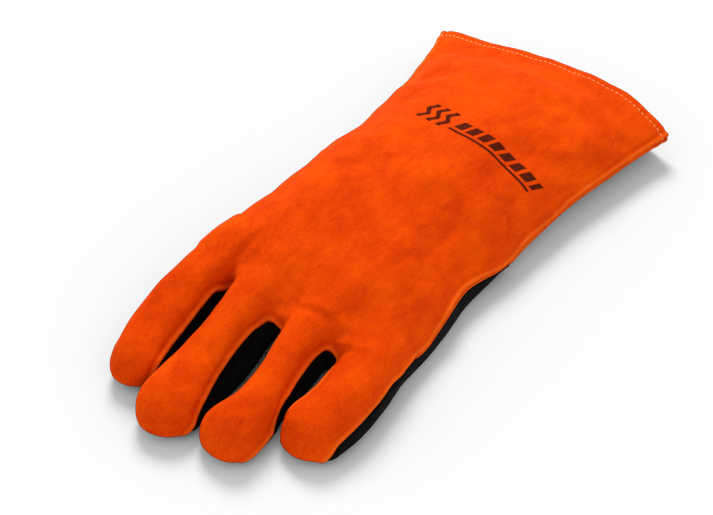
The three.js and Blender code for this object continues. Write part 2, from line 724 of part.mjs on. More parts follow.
// one part of a finger; without an endHinge it runs to the tip
function addFingerPart(finger, part, { startHinge, endHinge, rows }) {
  const { length, pointAt } = finger;
  const bodyName = `${finger.name}_${part}`;
  const from = startHinge.distance;
  const endBy = (tipGap) => (endHinge ? endHinge.distance : length - tipGap);
  const clearanceAt = (distance, angle, hinge) => hingeClearance(pointAt(distance, angle).z, hinge);
  const panel = (start, end, options) => tubePanel({
    pointAt,
    startAt: (angle) => start + clearanceAt(start, angle, startHinge),
    endAt: (angle) => (endHinge ? end - clearanceAt(end, angle, endHinge) : end),
    toTip: !endHinge,
    rows,
    ...options,
  });
  const add = (suffix, geometry, material) => (
    addMesh(bodyName, `${bodyName}_${suffix}`, geometry, material)
  );

  const shellEnd = endBy(SHELL_TIP_GAP);
  const forkEnd = endBy(FORK_TIP_GAP);
  const liningEnd = endBy(LINING_TIP_GAP) - (endHinge ? LINING_TRIM : 0);
  const angles = panelAngles(finger, FINGER_SEAM_GAP);
  const stripTop = FORK_TOP - STRIP_TOP_GAP;
  const palmEdge = (sideKind) => (sideKind === 'outer' ? 'level' : 'upright');

  add('back', panel(from, shellEnd, {
    angles: [angles.backLittle, angles.backIndex], columns: 8, edges: ['level', 'level'],
  }), suede());
  add('palm', panel(from, shellEnd, {
    angles: [angles.palmIndex, angles.palmLittle],
    columns: 7,
    edges: [palmEdge(finger.indexSide), palmEdge(finger.littleSide)],
  }), black());
  if (finger.indexSide === 'fork') {
    add('fork_index_side', panel(from, forkEnd, {
      angles: [180 - stripTop, 180 - STRIP_BOTTOM], columns: 4, allLevel: true,
    }), black());
  }
  if (finger.littleSide === 'fork') {
    add('fork_little_side', panel(from, forkEnd, {
      angles: [360 + STRIP_BOTTOM, 360 + stripTop], columns: 4, allLevel: true,
    }), black());
  }
  add('lining', panel(from + LINING_TRIM, liningEnd, LINING_TUBE), cotton());
}

function addFinger(finger) {
  const { knuckle, middle } = finger;
  addFingerPart(finger, 'proximal', { startHinge: knuckle, endHinge: middle, rows: 4 });
  addFingerPart(finger, 'distal', { startHinge: middle, rows: 6 });
}

// ---------------------------------------------------------------- thumb
const thumbTrack = measureLine(THUMB.line);
const thumbLength = lengthOf(thumbTrack);

// The thumb bends about upright axes, so its clearance grows across the width.
// Slopes of that growth towards each side:
const THUMB_BASE_CUT = {
  distance: THUMB.base,
  littleSlope: 0.06,
  indexSlope: Math.tan(degToRad(THUMB_BASE_RANGE.max / 2)) * 1.05,
};
const THUMB_MIDDLE_CUT = {
  distance: THUMB.middle,
  littleSlope: Math.tan(degToRad(THUMB_MIDDLE_RANGE.max / 2)) * 1.08,
  indexSlope: 0.03,
};

function thumbPoint(distance, angle) {
  const [x, y, z] = interpolate(thumbTrack, distance);
  const side = sideDirection(thumbTrack, distance);
  const [fullHalfWidth, fullHalfHeight] = interpolate(THUMB.halfSizes, distance);
  const factor = tipFactor(distance, thumbLength, THUMB.tipRound);
  const halfWidth = Math.max(THUMB.minHalfWidth, fullHalfWidth * factor);
  const halfHeight = Math.max(THUMB.minHalfHeight, fullHalfHeight * Math.pow(factor, 0.8));
  const outward = halfWidth * signedPower(Math.cos(angle), 2 / THUMB.squareness);
  const upward = halfHeight * signedPower(Math.sin(angle), 2 / THUMB.squareness);
  return vec(x + side.x * outward, y + side.y * outward, z + upward);
}

function thumbClearance(angle, cut) {
  const across = THUMB.cutHalfWidth * signedPower(Math.cos(angle), 2 / THUMB.squareness);
  return JOINT_GAP + Math.max(0, across * cut.littleSlope, -across * cut.indexSlope);
}

// one part of the thumb; without an endCut it runs to the tip
function addThumbPart(part, { startCut, endCut, rows }) {
  const bodyName = `thumb_${part}`;
  const from = startCut.distance;
  const panel = (start, end, options) => tubePanel({
    pointAt: thumbPoint,
    startAt: (angle) => start + thumbClearance(angle, startCut),
    endAt: (angle) => end - (endCut ? thumbClearance(angle, endCut) : 0),
    toTip: !endCut,
    rows,
    ...options,
  });
  const shellEnd = endCut ? endCut.distance : thumbLength - SHELL_TIP_GAP;
  const liningEnd = endCut ? endCut.distance - LINING_TRIM : thumbLength - LINING_TIP_GAP;
  const [first, last] = THUMB.panelEdges;
  const back = panel(from, shellEnd, { angles: [first + 8, last - 8], columns: 9 });
  const palm = panel(from, shellEnd, { angles: [last + 0.5, first + 359.5], columns: 11 });
  const lining = panel(from + LINING_TRIM, liningEnd, LINING_TUBE);
  addMesh(bodyName, `${bodyName}_back`, back, suede());
  addMesh(bodyName, `${bodyName}_palm`, palm, black());
  addMesh(bodyName, `${bodyName}_lining`, lining, cotton());
}

function addThumb() {
  addThumbPart('proximal', { startCut: THUMB_BASE_CUT, endCut: THUMB_MIDDLE_CUT, rows: 5 });
  addThumbPart('distal', { startCut: THUMB_MIDDLE_CUT, rows: 6 });
}

// ---------------------------------------------------------------- joints and finger stalls
// Positions are in the part's frame, ranges in degrees; positive curls a finger towards the palm.
function makeJoint(name, parent, child, [x, y, z], axis, { min, max }) {
  const pos = [x - ORIGIN[0], y - ORIGIN[1], z];
  return { name, parent, child, pos, axis, range: [min, max] };
}

function listJoints() {
  const joints = [
    makeJoint('wrist_bend', 'hand', 'cuff', [WRIST.x, WRIST.y, WRIST.z], [1, 0, 0], WRIST),
  ];
  for (const { name, knuckle, middle } of fingers) {
    const [proximal, distal] = [`${name}_proximal`, `${name}_distal`];
    const addHinge = (suffix, parent, child, { position, axis, range }) => joints.push(
      makeJoint(`${name}_${suffix}`, parent, child, position.toArray(), axis.toArray(), range),
    );
    addHinge('knuckle', 'hand', proximal, knuckle);
    addHinge('middle_joint', proximal, distal, middle);
  }
  const base = interpolate(thumbTrack, THUMB.base);
  const middle = interpolate(thumbTrack, THUMB.middle);
  const [proximal, distal] = ['thumb_proximal', 'thumb_distal'];
  joints.push(
    makeJoint('thumb_base', 'hand', proximal, base, [0, 0, -1], THUMB_BASE_RANGE),
    makeJoint('thumb_middle_joint', proximal, distal, middle, [0, 0, 1], THUMB_MIDDLE_RANGE),
  );
  return joints;
}

// free space in a finger between two distances, as a box [[min], [max]] in the part's frame
function stallBox(finger, from, to) {
  const wall = LINING_DEPTH + LINING + 0.3;
  let [xMin, xMax, zMin, zMax] = [-1e9, 1e9, -1e9, 1e9];
  for (let distance = from; distance <= to; distance += 1) {
    const { x, halfWidth, seam, above, below } = finger.sectionAt(distance);
    const reach = (halfWidth - wall) * 0.68;
    xMin = Math.max(xMin, x - reach);
    xMax = Math.min(xMax, x + reach);
    zMin = Math.max(zMin, seam - (below - wall) * 0.85);
    zMax = Math.min(zMax, seam + (above - wall) * 0.74);
  }
  const yMin = finger.sectionAt(to).y;
  const yMax = finger.sectionAt(from).y;
  const [xOrigin, yOrigin] = ORIGIN;
  return [[xMin - xOrigin, yMin - yOrigin, zMin], [xMax - xOrigin, yMax - yOrigin, zMax]];
}

function listStalls() {
  const stalls = [];
  for (const finger of fingers) {
    const { name, knuckle, middle, length } = finger;
    const spans = [
      ['inner', knuckle.distance + 5, middle.distance - 5],
      ['outer', middle.distance + 5, length - 17],
    ];
    for (const [part, from, to] of spans) {
      const box = stallBox(finger, from, to);
      const [min, max] = box;
      const isRoomy = max[0] - min[0] > 5 && max[2] - min[2] > 2.5;
      if (isRoomy) stalls.push({ name: `${name}_stall_${part}`, holds: 'a finger', box });
    }
  }
  return stalls;
}

// ---------------------------------------------------------------- assembly
addHand();
addCuff();
fingers.forEach(addFinger);
addThumb();

group.userData.stalls = listStalls();
group.userData.joints = listJoints();
group.userData.bodies = Object.fromEntries(
  Object.entries(bodies).map(([name, { children }]) => [name, children.map((mesh) => mesh.name)]),
);

export default group;
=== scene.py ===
# Heat resistant gauntlet glove: orange suede back, black palm and fork strips, fleece lining,
# and a wide cuff with a stitched hem. It lies palm down on the table (z = 0) with the fingers
# towards -Y, the cuff towards +Y, the index finger on the -X side and the thumb under the palm.
# The shape is worked out in a plan in millimetres, then moved to the part's frame in metres:
# x_part = x - 58, y_part = y + 8.
import math
from collections import namedtuple

import bmesh
import bpy
import numpy as np
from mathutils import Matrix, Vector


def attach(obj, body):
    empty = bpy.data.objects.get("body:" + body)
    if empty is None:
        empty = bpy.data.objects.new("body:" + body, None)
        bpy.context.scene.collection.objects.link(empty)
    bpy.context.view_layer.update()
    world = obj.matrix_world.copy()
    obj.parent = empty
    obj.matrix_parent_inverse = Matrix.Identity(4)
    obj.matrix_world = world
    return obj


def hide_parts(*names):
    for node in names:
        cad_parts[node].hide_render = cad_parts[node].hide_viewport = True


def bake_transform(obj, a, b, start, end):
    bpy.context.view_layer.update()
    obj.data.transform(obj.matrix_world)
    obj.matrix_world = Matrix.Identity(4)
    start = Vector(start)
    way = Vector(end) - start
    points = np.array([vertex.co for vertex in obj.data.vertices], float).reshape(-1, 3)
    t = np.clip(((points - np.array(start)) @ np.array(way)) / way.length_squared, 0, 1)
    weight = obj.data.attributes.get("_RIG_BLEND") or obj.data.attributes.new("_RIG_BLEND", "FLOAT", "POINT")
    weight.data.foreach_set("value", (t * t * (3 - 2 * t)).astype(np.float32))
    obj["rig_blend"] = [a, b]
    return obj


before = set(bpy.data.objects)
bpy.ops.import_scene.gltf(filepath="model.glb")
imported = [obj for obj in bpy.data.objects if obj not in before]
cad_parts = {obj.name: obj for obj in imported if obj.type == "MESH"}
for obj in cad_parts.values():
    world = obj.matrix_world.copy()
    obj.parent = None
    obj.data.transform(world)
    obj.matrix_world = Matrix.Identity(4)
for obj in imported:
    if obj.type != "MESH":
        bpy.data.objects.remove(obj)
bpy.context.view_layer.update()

import openvdb as vdb
from mathutils import Vector, kdtree, noise
from mathutils.bvhtree import BVHTree

PLAN_ORIGIN = np.array([58.0, -8.0, 0.0])     # the part's origin in the plan

# ------------------------------------------------------------------ tables (plan, mm)
# y, x of the index-side edge, x of the little-side edge, seam height at each of those edges
SIDES = [
    [-82, -52.5, 77.2, 25, 10.8], [-64, -49.5, 77.4, 28, 10.8], [-45, -48, 77.2, 29, 10.5],
    [-25, -46.5, 75.5, 30, 10.5], [0, -47, 72, 29.5, 10.5], [14, -48, 72.5, 28.5, 10.5],
    [26, -50, 74.5, 27, 11], [38, -51.5, 76, 26, 12], [52, -51.8, 76.2, 24.5, 12.5],
    [70, -51.2, 76.8, 23, 13], [90, -53.2, 78.2, 22, 13.5], [110, -55, 80.8, 21, 14],
    [130, -58, 84, 20, 14], [150, -63, 87, 19.5, 14], [165, -66.2, 90, 19, 14],
    [180, -70, 93.2, 18.5, 14.5], [200, -74.5, 97, 18, 14.5],
]
# y, rise of the back over the seam, extra arch at mid width, edge rounding of back and underside
CROWN = [
    [-100, 13, 0, 15, 4.5], [-82, 13, 1, 15, 4.5], [-60, 13.5, 5, 16, 4.5],
    [-30, 14, 9, 17, 4.5], [10, 14, 11, 18, 5], [40, 14, 12.5, 19, 9], [90, 13, 13, 20, 17],
    [150, 11.5, 10, 21, 21], [190, 9.5, 6.5, 24, 21], [204, 9, 6, 24, 21],
]
# x, y of the hem
HEM = [[-76, 194.5], [-40, 191.5], [0, 190.5], [40, 189], [80, 184], [99, 179.5]]
# x, height added to the back at the mouth of the cuff
DROOP = [
    [-80, -4.5], [-62, -5.6], [-40, -5.2], [-20, -3.2], [0, -1.6], [20, 0], [40, 1.4],
    [55, 1.0], [70, -0.8], [85, -4], [99, -5.5],
]
# y, rise of the little-side seam
SIDE_SEAM = [
    [-80, 0], [-60, 0.4], [-44, -0.6], [-34, 1.2], [-22, 3.2], [-10, 3.2], [4, 2.6],
    [14, 1.2], [24, -0.8], [34, -1.5], [48, 0], [60, 0],
]
CROTCH = [[-22.4, -75.5], [10.6, -86], [44.2, -82.5]]             # x, y between the fingers
CROTCH_DIP = (4.5, 1.5, 1.0)                                      # how far the back dips there
FRONT = [[-90, -62], [-50, -70], *CROTCH, [70, -77], [110, -66]]  # x, y where the hand ends

# Each finger, with lengths s measured along its middle line from the root:
#   line   x, y, height of the seam, height of the underside
#   half   s, half width of the back
#   fuller s, extra half width of the palm: on the index side, then on the little side
#   crown  rise of the back at the root, half way and at the tip
#   cuts   s of the root cut, end of the root bend, cut between base and tip, tip bend's ends
#   forks  whether there is a fork strip on the index side, and on the little side
FINGERS = {
    "index": dict(
        line=[[-36, -50, 28.5, 19], [-36.6, -70, 26, 16], [-38.0, -92, 21.5, 10],
              [-37.2, -118, 15, 3], [-34.8, -134, 11, 0.8], [-33.4, -150.5, 8, 0.4]],
        half=[[0, 12.6], [20, 13.3], [42, 14.1], [68, 14.9], [85, 14.0], [101, 13.4]],
        fuller=([[0, 0], [101, 0]], [[20, 0.8], [42, 1.6], [68, 1.2], [101, 0.2]]),
        crown=[14, 13.5, 12], cuts=(27.5, 51.5, 53.2, 55, 81), forks=(0, 1)),
    "middle": dict(
        line=[[-7.4, -62, 26, 13.5], [-5.2, -84, 23.5, 8.5], [-4.3, -105, 18.5, 3.2],
              [-4.2, -128, 13, 0.8], [-1.4, -148, 10, 0.5], [1.4, -167, 8, 0.4]],
        half=[[0, 14], [20, 13.2], [43, 12.4], [60, 13.2], [74, 14.8], [87, 16.3],
              [105, 16.2]],
        fuller=([[20, 0.8], [43, 1.6], [66, 1.2], [105, 0.2]],
                [[14, 3], [25, 6.5], [43, 8.5], [60, 8], [74, 5], [87, 2.2], [105, 0.5]]),
        crown=[14, 13.5, 12], cuts=(26, 51, 53, 55, 81), forks=(1, 1)),
    "ring": dict(
        line=[[28.4, -66, 21, 7.5], [29.9, -86, 19, 3.8], [33.3, -108, 15, 1.4],
              [35.4, -128, 12, 0.7], [34.2, -144, 10, 0.5], [31.6, -161, 8, 0.4]],
        half=[[0, 13.4], [20, 12.1], [42, 11.0], [56, 11.3], [68, 12.8], [78, 15.3],
              [88, 17.0], [96, 17.0]],
        fuller=([[14, 2.5], [24, 5], [42, 5.5], [58, 5.5], [70, 4.5], [80, 2.4], [96, 0.6]],
                [[14, 1.5], [25, 3], [42, 3.5], [58, 3], [70, 1.5], [80, 0.6], [96, 0.3]]),
        crown=[13.5, 13, 12], cuts=(21, 46, 47.4, 48.5, 74.5), forks=(1, 1)),
    "little": dict(
        line=[[62.2, -66, 13.5, 1.2], [64.5, -84, 13, 0.6], [65.7, -104, 12, 0.5],
              [64.0, -122, 10, 0.5], [61.4, -139, 8, 0.4]],
        half=[[0, 15.2], [10, 15.4], [20, 15.4], [38, 16.1], [56, 17.4], [66, 17.2],
              [73, 16.3]],
        fuller=([[12, 2], [20, 4], [38, 4], [50, 2.5], [60, 1.0], [73, 0.3]],
                [[0, 1], [20, 2.0], [45, 2.2], [60, 1.4], [73, 0.4]]),
        crown=[13, 12.5, 11.5], cuts=(17.5, 37.6, 38.1, 38.6, 58.5), forks=(1, 0)),
}
ORDER = list(FINGERS)

THUMB_LINE = [[-35, 34, 10.4], [-35.4, 16, 10.3], [-32.4, -6, 10.2], [-21.5, -30, 10.0],
              [-6, -48, 9.5]]                                              # x, y, z
THUMB_HALF = [[0, 14], [20, 14.6], [45, 14.2], [70, 13.8], [88, 13.8]]     # s, half width
THUMB_TALL = [[0, 9.6], [20, 9.8], [45, 9.7], [70, 9.5], [88, 8.9]]        # s, half height
THUMB_CUT = 34                                   # s of the cut between base and tip
THUMB_BENDS = {"base": (2, 30), "tip": (37, 67)}     # s where each bend starts and ends
THUMB_SEAMS = (128, 300)                         # degrees round the thumb, back in between

# Soft ovals on the back: x, y, half length, half width, degrees turned, height
PUCKERS = [
    (31, -73, 11, 2.2, 6, 1.1), (30, -77.5, 11, 2.0, 6, -1.1), (44, -74, 3.5, 3.0, 30, 0.9),
    (50, -66, 6, 2.2, -35, -0.7), (-22, -66, 2.0, 9, -10, -1.5),
    (-26.5, -64, 2.4, 9, -10, 0.8), (-17.5, -66, 2.4, 9, -10, 0.8), (9, -78, 8, 2.2, -6, 0.8),
    (6, -70, 10, 2.6, -12, -0.5), (-5, 30, 4.0, 26, 24, -0.8), (30, 20, 4.5, 30, 14, -0.7),
    (48, -20, 3.5, 18, -12, -0.6), (10, 150, 6, 34, 4, 0.8), (-30, 120, 5, 30, 10, -0.8),
    (55, 130, 5, 34, -8, -0.7),
]

# Rolled leather beside each kind of seam: height, distance from the seam, width
BACK_ROLL = [(-0.75, 0, 0.7), (0.62, 1.9, 1.1), (-0.50, 4.3, 1.1)]
PALM_ROLL = [(-0.75, 0, 0.7), (0.30, 2.0, 1.1), (-0.15, 4.4, 1.4)]
WRIST_ROLL = [(-0.6, 0, 0.7), (0.25, 2.1, 1.1)]
FORK_ROLL = [(-0.5, 0, 0.7), (0.25, 2.0, 1.0)]
THUMB_ROLL = [(-0.6, 0, 0.7), (0.45, 2.2, 1.2), (-0.25, 5, 1.5)]
STITCH_ROW = 4.6                                 # from the hem edge to the stitches
HEM_ROLL = [(0.30, 1.6, 1.4), (-0.38, STITCH_ROW, 0.9)]

BACK_POWER, PALM_POWER, THUMB_POWER = 2.3, 3.2, 2.4      # squareness of the cross-sections
LEAST_DEPTH = 2.4             # of the palm half below the seam
FINGER_BLEND = 3.0            # width of the blend between finger and hand
LEATHER, FLEECE = 1.4, 1.2    # thicknesses
LINING_DEPTH = 4.2            # of the lining below the outer surface
THUMB_LINING_INSET = 2.9
LINING_SHORT = 9.0            # the lining stops this far short of the hem
WRIST_BEND = (16.0, 58.0)     # y where the hand starts and ends turning into the cuff
WRIST_CUT = 36.0              # y of the seam between palm and cuff underside
FAR = 20.0                    # distance standing for "no seam nearby"
OFF_FINGER = -50.0            # length along the finger for points that are not on it


# ------------------------------------------------------------------ small helpers
def smooth(start, end, x):
    t = np.clip((x - start) / (end - start), 0, 1)
    return t * t * (3 - 2 * t)


def bell(x, centre, width):
    return np.exp(-((x - centre) / width) ** 2)


def roll(distance, ridges):
    return sum(height * bell(distance, centre, width) for height, centre, width in ridges)


def curve(table, at, column=1):
    """Smooth curve through a table's column, level beyond its ends."""
    table = np.asarray(table, float)
    keys, values = table[:, 0], table[:, column]
    at = np.clip(np.asarray(at, float), keys[0], keys[-1])
    slope = np.empty(len(keys))
    slope[1:-1] = (values[2:] - values[:-2]) / (keys[2:] - keys[:-2])
    slope[0] = (values[1] - values[0]) / (keys[1] - keys[0])
    slope[-1] = (values[-1] - values[-2]) / (keys[-1] - keys[-2])
    i = np.clip(np.searchsorted(keys, at, side="right") - 1, 0, len(keys) - 2)
    h = keys[i + 1] - keys[i]
    t = (at - keys[i]) / h
    t2, t3 = t * t, t * t * t
    return ((2 * t3 - 3 * t2 + 1) * values[i] + (t3 - 2 * t2 + t) * slope[i] * h
            + (-2 * t3 + 3 * t2) * values[i + 1] + (t3 - t2) * slope[i + 1] * h)


def with_lengths(line):
    """The line's stations, each led by its plan distance from the first."""
    stations, s = [], 0.0
    for i, p in enumerate(line):
        if i:
            s += math.hypot(p[0] - line[i - 1][0], p[1] - line[i - 1][1])
        stations.append([s] + list(p))
    return stations


def along(stations, s):
    """Plan position and direction s along a line, which runs on straight past its ends."""
    inside = np.clip(s, 0, stations[-1][0])
    x, y = curve(stations, inside, 1), curve(stations, inside, 2)
    dx = curve(stations, inside + 0.5, 1) - curve(stations, inside - 0.5, 1)
    dy = curve(stations, inside + 0.5, 2) - curve(stations, inside - 0.5, 2)
    length = np.hypot(dx, dy)
    dx, dy = dx / length, dy / length
    return x + dx * (s - inside), y + dy * (s - inside), dx, dy


def noise_at(points, size, seed, stretch=(1, 1, 1)):
    scale = np.array(stretch) / size
    shift = Vector((seed, seed * 1.7, seed * 0.3))
    return np.array([noise.fractal(Vector(p) + shift, 1.0, 2.0, 2,
                                   noise_basis="PERLIN_ORIGINAL") for p in points * scale])


def point_tree(points, ids):
    tree = kdtree.KDTree(len(ids))
    for i in ids:
        tree.insert(points[i], int(i))
    tree.balance()
    return tree


def to_metres(points):
    return (np.asarray(points) - PLAN_ORIGIN) * 0.001


def new_mesh(name, points, faces):
    mesh = bpy.data.meshes.new(name)
    mesh.from_pydata([tuple(v) for v in points], [], [tuple(f) for f in faces])
    mesh.update()
    return mesh


def link(name, data):
    obj = bpy.data.objects.new(name, data)
    bpy.context.scene.collection.objects.link(obj)
    return obj


def store(mesh, name, values):
    """Point attribute: a vector for rows of three, otherwise a number."""
    kind, field = ("FLOAT_VECTOR", "vector") if values.ndim == 2 else ("FLOAT", "value")
    attribute = mesh.attributes.new(name, kind, "POINT")
    attribute.data.foreach_set(field, values.astype(np.float32).ravel())


# ------------------------------------------------------------------ the glove as a field
class Finger:
    def __init__(self, spec):
        self.stations = with_lengths(spec["line"])
        self.length = self.stations[-1][0]
        self.half, self.extra, self.forks = spec["half"], spec["fuller"], spec["forks"]
        self.crown = list(zip((0, self.length / 2, self.length), spec["crown"]))
        self.root, root_end, self.split, *tip_bend = spec["cuts"]
        self.bends = {"base": (self.root, root_end), "tip": tip_bend}
        self.s = np.arange(-14, self.length + 18, 0.5)
        x, y, dx, dy = along(self.stations, self.s)
        self.path, self.direction = np.stack([x, y], 1), np.stack([dx, dy], 1)

    def coords(self, x, y, chunk=20000):
        """Distance along the finger, and offset across it (+ towards the little side)."""
        points = np.stack([x.ravel(), y.ravel()], 1)
        s, v = np.empty(len(points)), np.empty(len(points))
        for a in range(0, len(points), chunk):
            c = points[a:a + chunk]
            squared = ((c[:, None, 0] - self.path[None, :, 0]) ** 2
                       + (c[:, None, 1] - self.path[None, :, 1]) ** 2)
            j = squared.argmin(1)
            away = c - self.path[j]
            t = self.direction[j]
            s[a:a + chunk] = self.s[j] + (away * t).sum(1)
            v[a:a + chunk] = -away[:, 0] * t[:, 1] + away[:, 1] * t[:, 0]
        return s.reshape(x.shape), v.reshape(x.shape)

    def size(self, s):
        """Half width, seam height, rise above the seam and depth below it."""
        s = np.clip(s, 0, self.length)
        seam = curve(self.stations, s, 3)
        depth = np.maximum(LEAST_DEPTH, seam - curve(self.stations, s, 4))
        return curve(self.half, s), seam, curve(self.crown, s), depth

    def fuller(self, s, v, deep):
        """Extra half width on the side of v; deep runs 0 to 1 from the seam down."""
        index_side, little_side = (curve(table, s) for table in self.extra)
        return np.where(v < 0, index_side, little_side) * smooth(0.05, 0.6, deep)

    def size_at(self, s, v, z):
        """The same as size, with the half width at height z."""
        half, seam, up, down = self.size(s)
        return half + self.fuller(s, v, (seam - z) / down), seam, up, down

    def tip_start(self, half):
        """Where the rounding of the fingertip starts."""
        return self.length - np.minimum(half * 1.22, 19.5)

    def centre(self, s):
        """Point a little below mid height, s along the finger."""
        i = int(np.argmin(np.abs(self.s - s)))
        _, seam, up, down = self.size(float(s))
        x, y = self.path[i] + self.direction[i] * (s - self.s[i])
        bottom, top = seam - down, seam + up
        return np.array([x, y, float(bottom + 0.46 * (top - bottom))])


FINGER = {name: Finger(spec) for name, spec in FINGERS.items()}


def side_lines(x, y):
    """x of both side edges, and the seam height between them."""
    index_x, little_x, index_z, little_z = (curve(SIDES, y, c) for c in (1, 2, 3, 4))
    across = np.clip((x - index_x) / (little_x - index_x), 0, 1)
    return index_x, little_x, index_z + (little_z - index_z) * across


def hollow_z(x, y):
    """Height of the palm over the thumb: 21.5 at the wrist, 17.5 near the fingers."""
    height = 21.5 - 4.0 * (1 - smooth(-72, -42, y))
    return (1 - smooth(25, 47, x)) * (1 - smooth(26, 56, y)) * height


def crotch_distance(x, y):
    d = np.full(np.shape(x), 1e9)
    for crotch_x, crotch_y in CROTCH:
        d = np.minimum(d, np.hypot(x - crotch_x, y - crotch_y))
    return d


def front_y(x):
    front = np.asarray(FRONT, float)
    return np.interp(x, front[:, 0], front[:, 1])


def hand_field(x, y, z):
    """Positive inside the hand and cuff."""
    index_x, little_x, seam = side_lines(x, y)
    rise, arch, back_round, under_round = (curve(CROWN, y, c) for c in (1, 2, 3, 4))
    inside = np.minimum(np.minimum(x - index_x, little_x - x), crotch_distance(x, y))
    across = (2 * x - index_x - little_x) / (little_x - index_x)
    up = (rise + arch * (1 - np.clip(across, -1, 1) ** 2)
          + curve(DROOP, x) * smooth(105, 185, y))
    down = np.maximum(LEAST_DEPTH, seam - hollow_z(x, y))
    height = z - seam
    above = (np.clip(1 - inside / back_round, 0, None) ** BACK_POWER
             + (np.maximum(height, 0) / up) ** BACK_POWER) ** (1 / BACK_POWER)
    # the underside is pinched to the side seam towards the cuff and the little side
    pinch = smooth(0, 32, y) * np.maximum(smooth(-25, 25, x), smooth(48, 80, y))
    power = PALM_POWER - 1.8 * pinch
    below = (np.clip(1 - inside / under_round, 0, None) ** power
             + (np.maximum(-height, 0) / down) ** power) ** (1 / power)
    field = np.where(height >= 0, (1 - above) * 14, (1 - below) * 9)
    past_hem = 15
    return np.minimum(np.minimum(field, y - front_y(x)), curve(HEM, x) + past_hem - y)


def finger_field(finger, s, v, z):
    """Positive inside the finger; it starts 6 mm behind its root."""
    half, seam, up, down = finger.size(s)
    start = finger.tip_start(half)
    end = np.clip((s - start) / (finger.length - start), 0, None) ** 2.2
    height = z - (seam - 1.0 * np.clip(end, 0, 1))
    back = np.abs(v) / half
    palm = np.abs(v) / (half + finger.fuller(s, v, -height / down))
    above = ((back ** BACK_POWER + (np.maximum(height, 0) / up) ** BACK_POWER)
             ** (1 / BACK_POWER))
    below = ((palm ** PALM_POWER + (np.maximum(-height, 0) / down) ** PALM_POWER)
             ** (1 / PALM_POWER))
    section = np.where(height >= 0, above, below)
    field = (1 - np.sqrt(section * section + end)) * 12
    return np.where(s < -6, -20.0, np.minimum(field, (s + 6) * 2))


def soft_max(a, b, width):
    h = np.clip(0.5 + 0.5 * (a - b) / width, 0, 1)
    return b + (a - b) * h + width * h * (1 - h)


def glove_surface(step):
    """Closed quad surface of the whole glove but the thumb, in plan mm."""
    low = np.array([-84.0, -176.0, -4.0])
    count = np.ceil(np.array([190.0, 392.0, 52.0]) / step).astype(int)
    axes = [low[i] + step * np.arange(count[i]) for i in range(3)]
    plan_x, plan_y = np.meshgrid(axes[0], axes[1], indexing="ij")
    x, y, z = np.broadcast_arrays(plan_x[:, :, None], plan_y[:, :, None], axes[2][None, None])
    hand = hand_field(x, y, z)
    field = hand.copy()
    fingers = {}
    for name in ORDER:
        s, v = FINGER[name].coords(plan_x, plan_y)
        s, v = np.broadcast_arrays(s[:, :, None], v[:, :, None], z)[:2]
        finger = finger_field(FINGER[name], s, v, z)
        near = np.abs(v) < 30
        fingers[name] = np.where(near, finger, -20.0)
        joined = np.maximum(field, soft_max(hand, finger, FINGER_BLEND))
        field = np.where(near, joined, field)
    for a, b in zip(ORDER, ORDER[1:]):        # a slot keeps touching fingers apart
        gap = np.abs(fingers[a] - fingers[b]) * 0.55 - 1.1
        behind_front = y - (front_y(x) - 1.0)
        outside = -5.0 - np.minimum(fingers[a], fingers[b])
        field = np.minimum(field, np.maximum(gap, np.maximum(behind_front, outside)))
    field = np.minimum(field, z)              # flat where it rests on the table
    grid = vdb.FloatGrid(20.0)
    grid.copyFromArray(np.ascontiguousarray(-field.astype(np.float32)))
    points, quads = grid.convertToQuads(0.0)
    points, quads = points.astype(float) * step + low, quads.astype(np.int64)
    used = np.zeros(len(points), bool)
    used[quads.ravel()] = True
    return points[used], (np.cumsum(used) - 1)[quads]


# ------------------------------------------------------------------ quad mesh tools
def edges_of(quads):
    edges = np.concatenate([quads[:, [i, (i + 1) % 4]] for i in range(4)])
    edges.sort(1)
    return np.unique(edges, axis=0)


def edge_counts(edges, count):
    return np.bincount(edges.ravel(), minlength=count).astype(float)


def relax(values, edges, counts, amount):
    """Moves each point's values towards the mean of its neighbours."""
    total = np.zeros_like(values)
    for c in range(values.shape[1]):
        total[:, c] = (np.bincount(edges[:, 0], values[edges[:, 1], c], len(values))
                       + np.bincount(edges[:, 1], values[edges[:, 0], c], len(values)))
    return values + amount * (total / counts[:, None] - values)


def taubin(points, quads, passes):
    """Smooths without shrinking."""
    edges = edges_of(quads)
    counts = edge_counts(edges, len(points))
    for _ in range(passes):
        points = relax(points, edges, counts, 0.5)
        points = relax(points, edges, counts, -0.53)
    return points


def normals_of(points, quads):
    cross = np.cross(points[quads[:, 2]] - points[quads[:, 0]],
                     points[quads[:, 3]] - points[quads[:, 1]])
    n = np.zeros_like(points)
    for i in range(4):
        for c in range(3):
            n[:, c] += np.bincount(quads[:, i], cross[:, c], len(points))
    return n / np.maximum(1e-9, np.linalg.norm(n, axis=1))[:, None]


# ------------------------------------------------------------------ where the seams run
def finger_coords(points):
    return {name: FINGER[name].coords(points[:, 0], points[:, 1]) for name in ORDER}


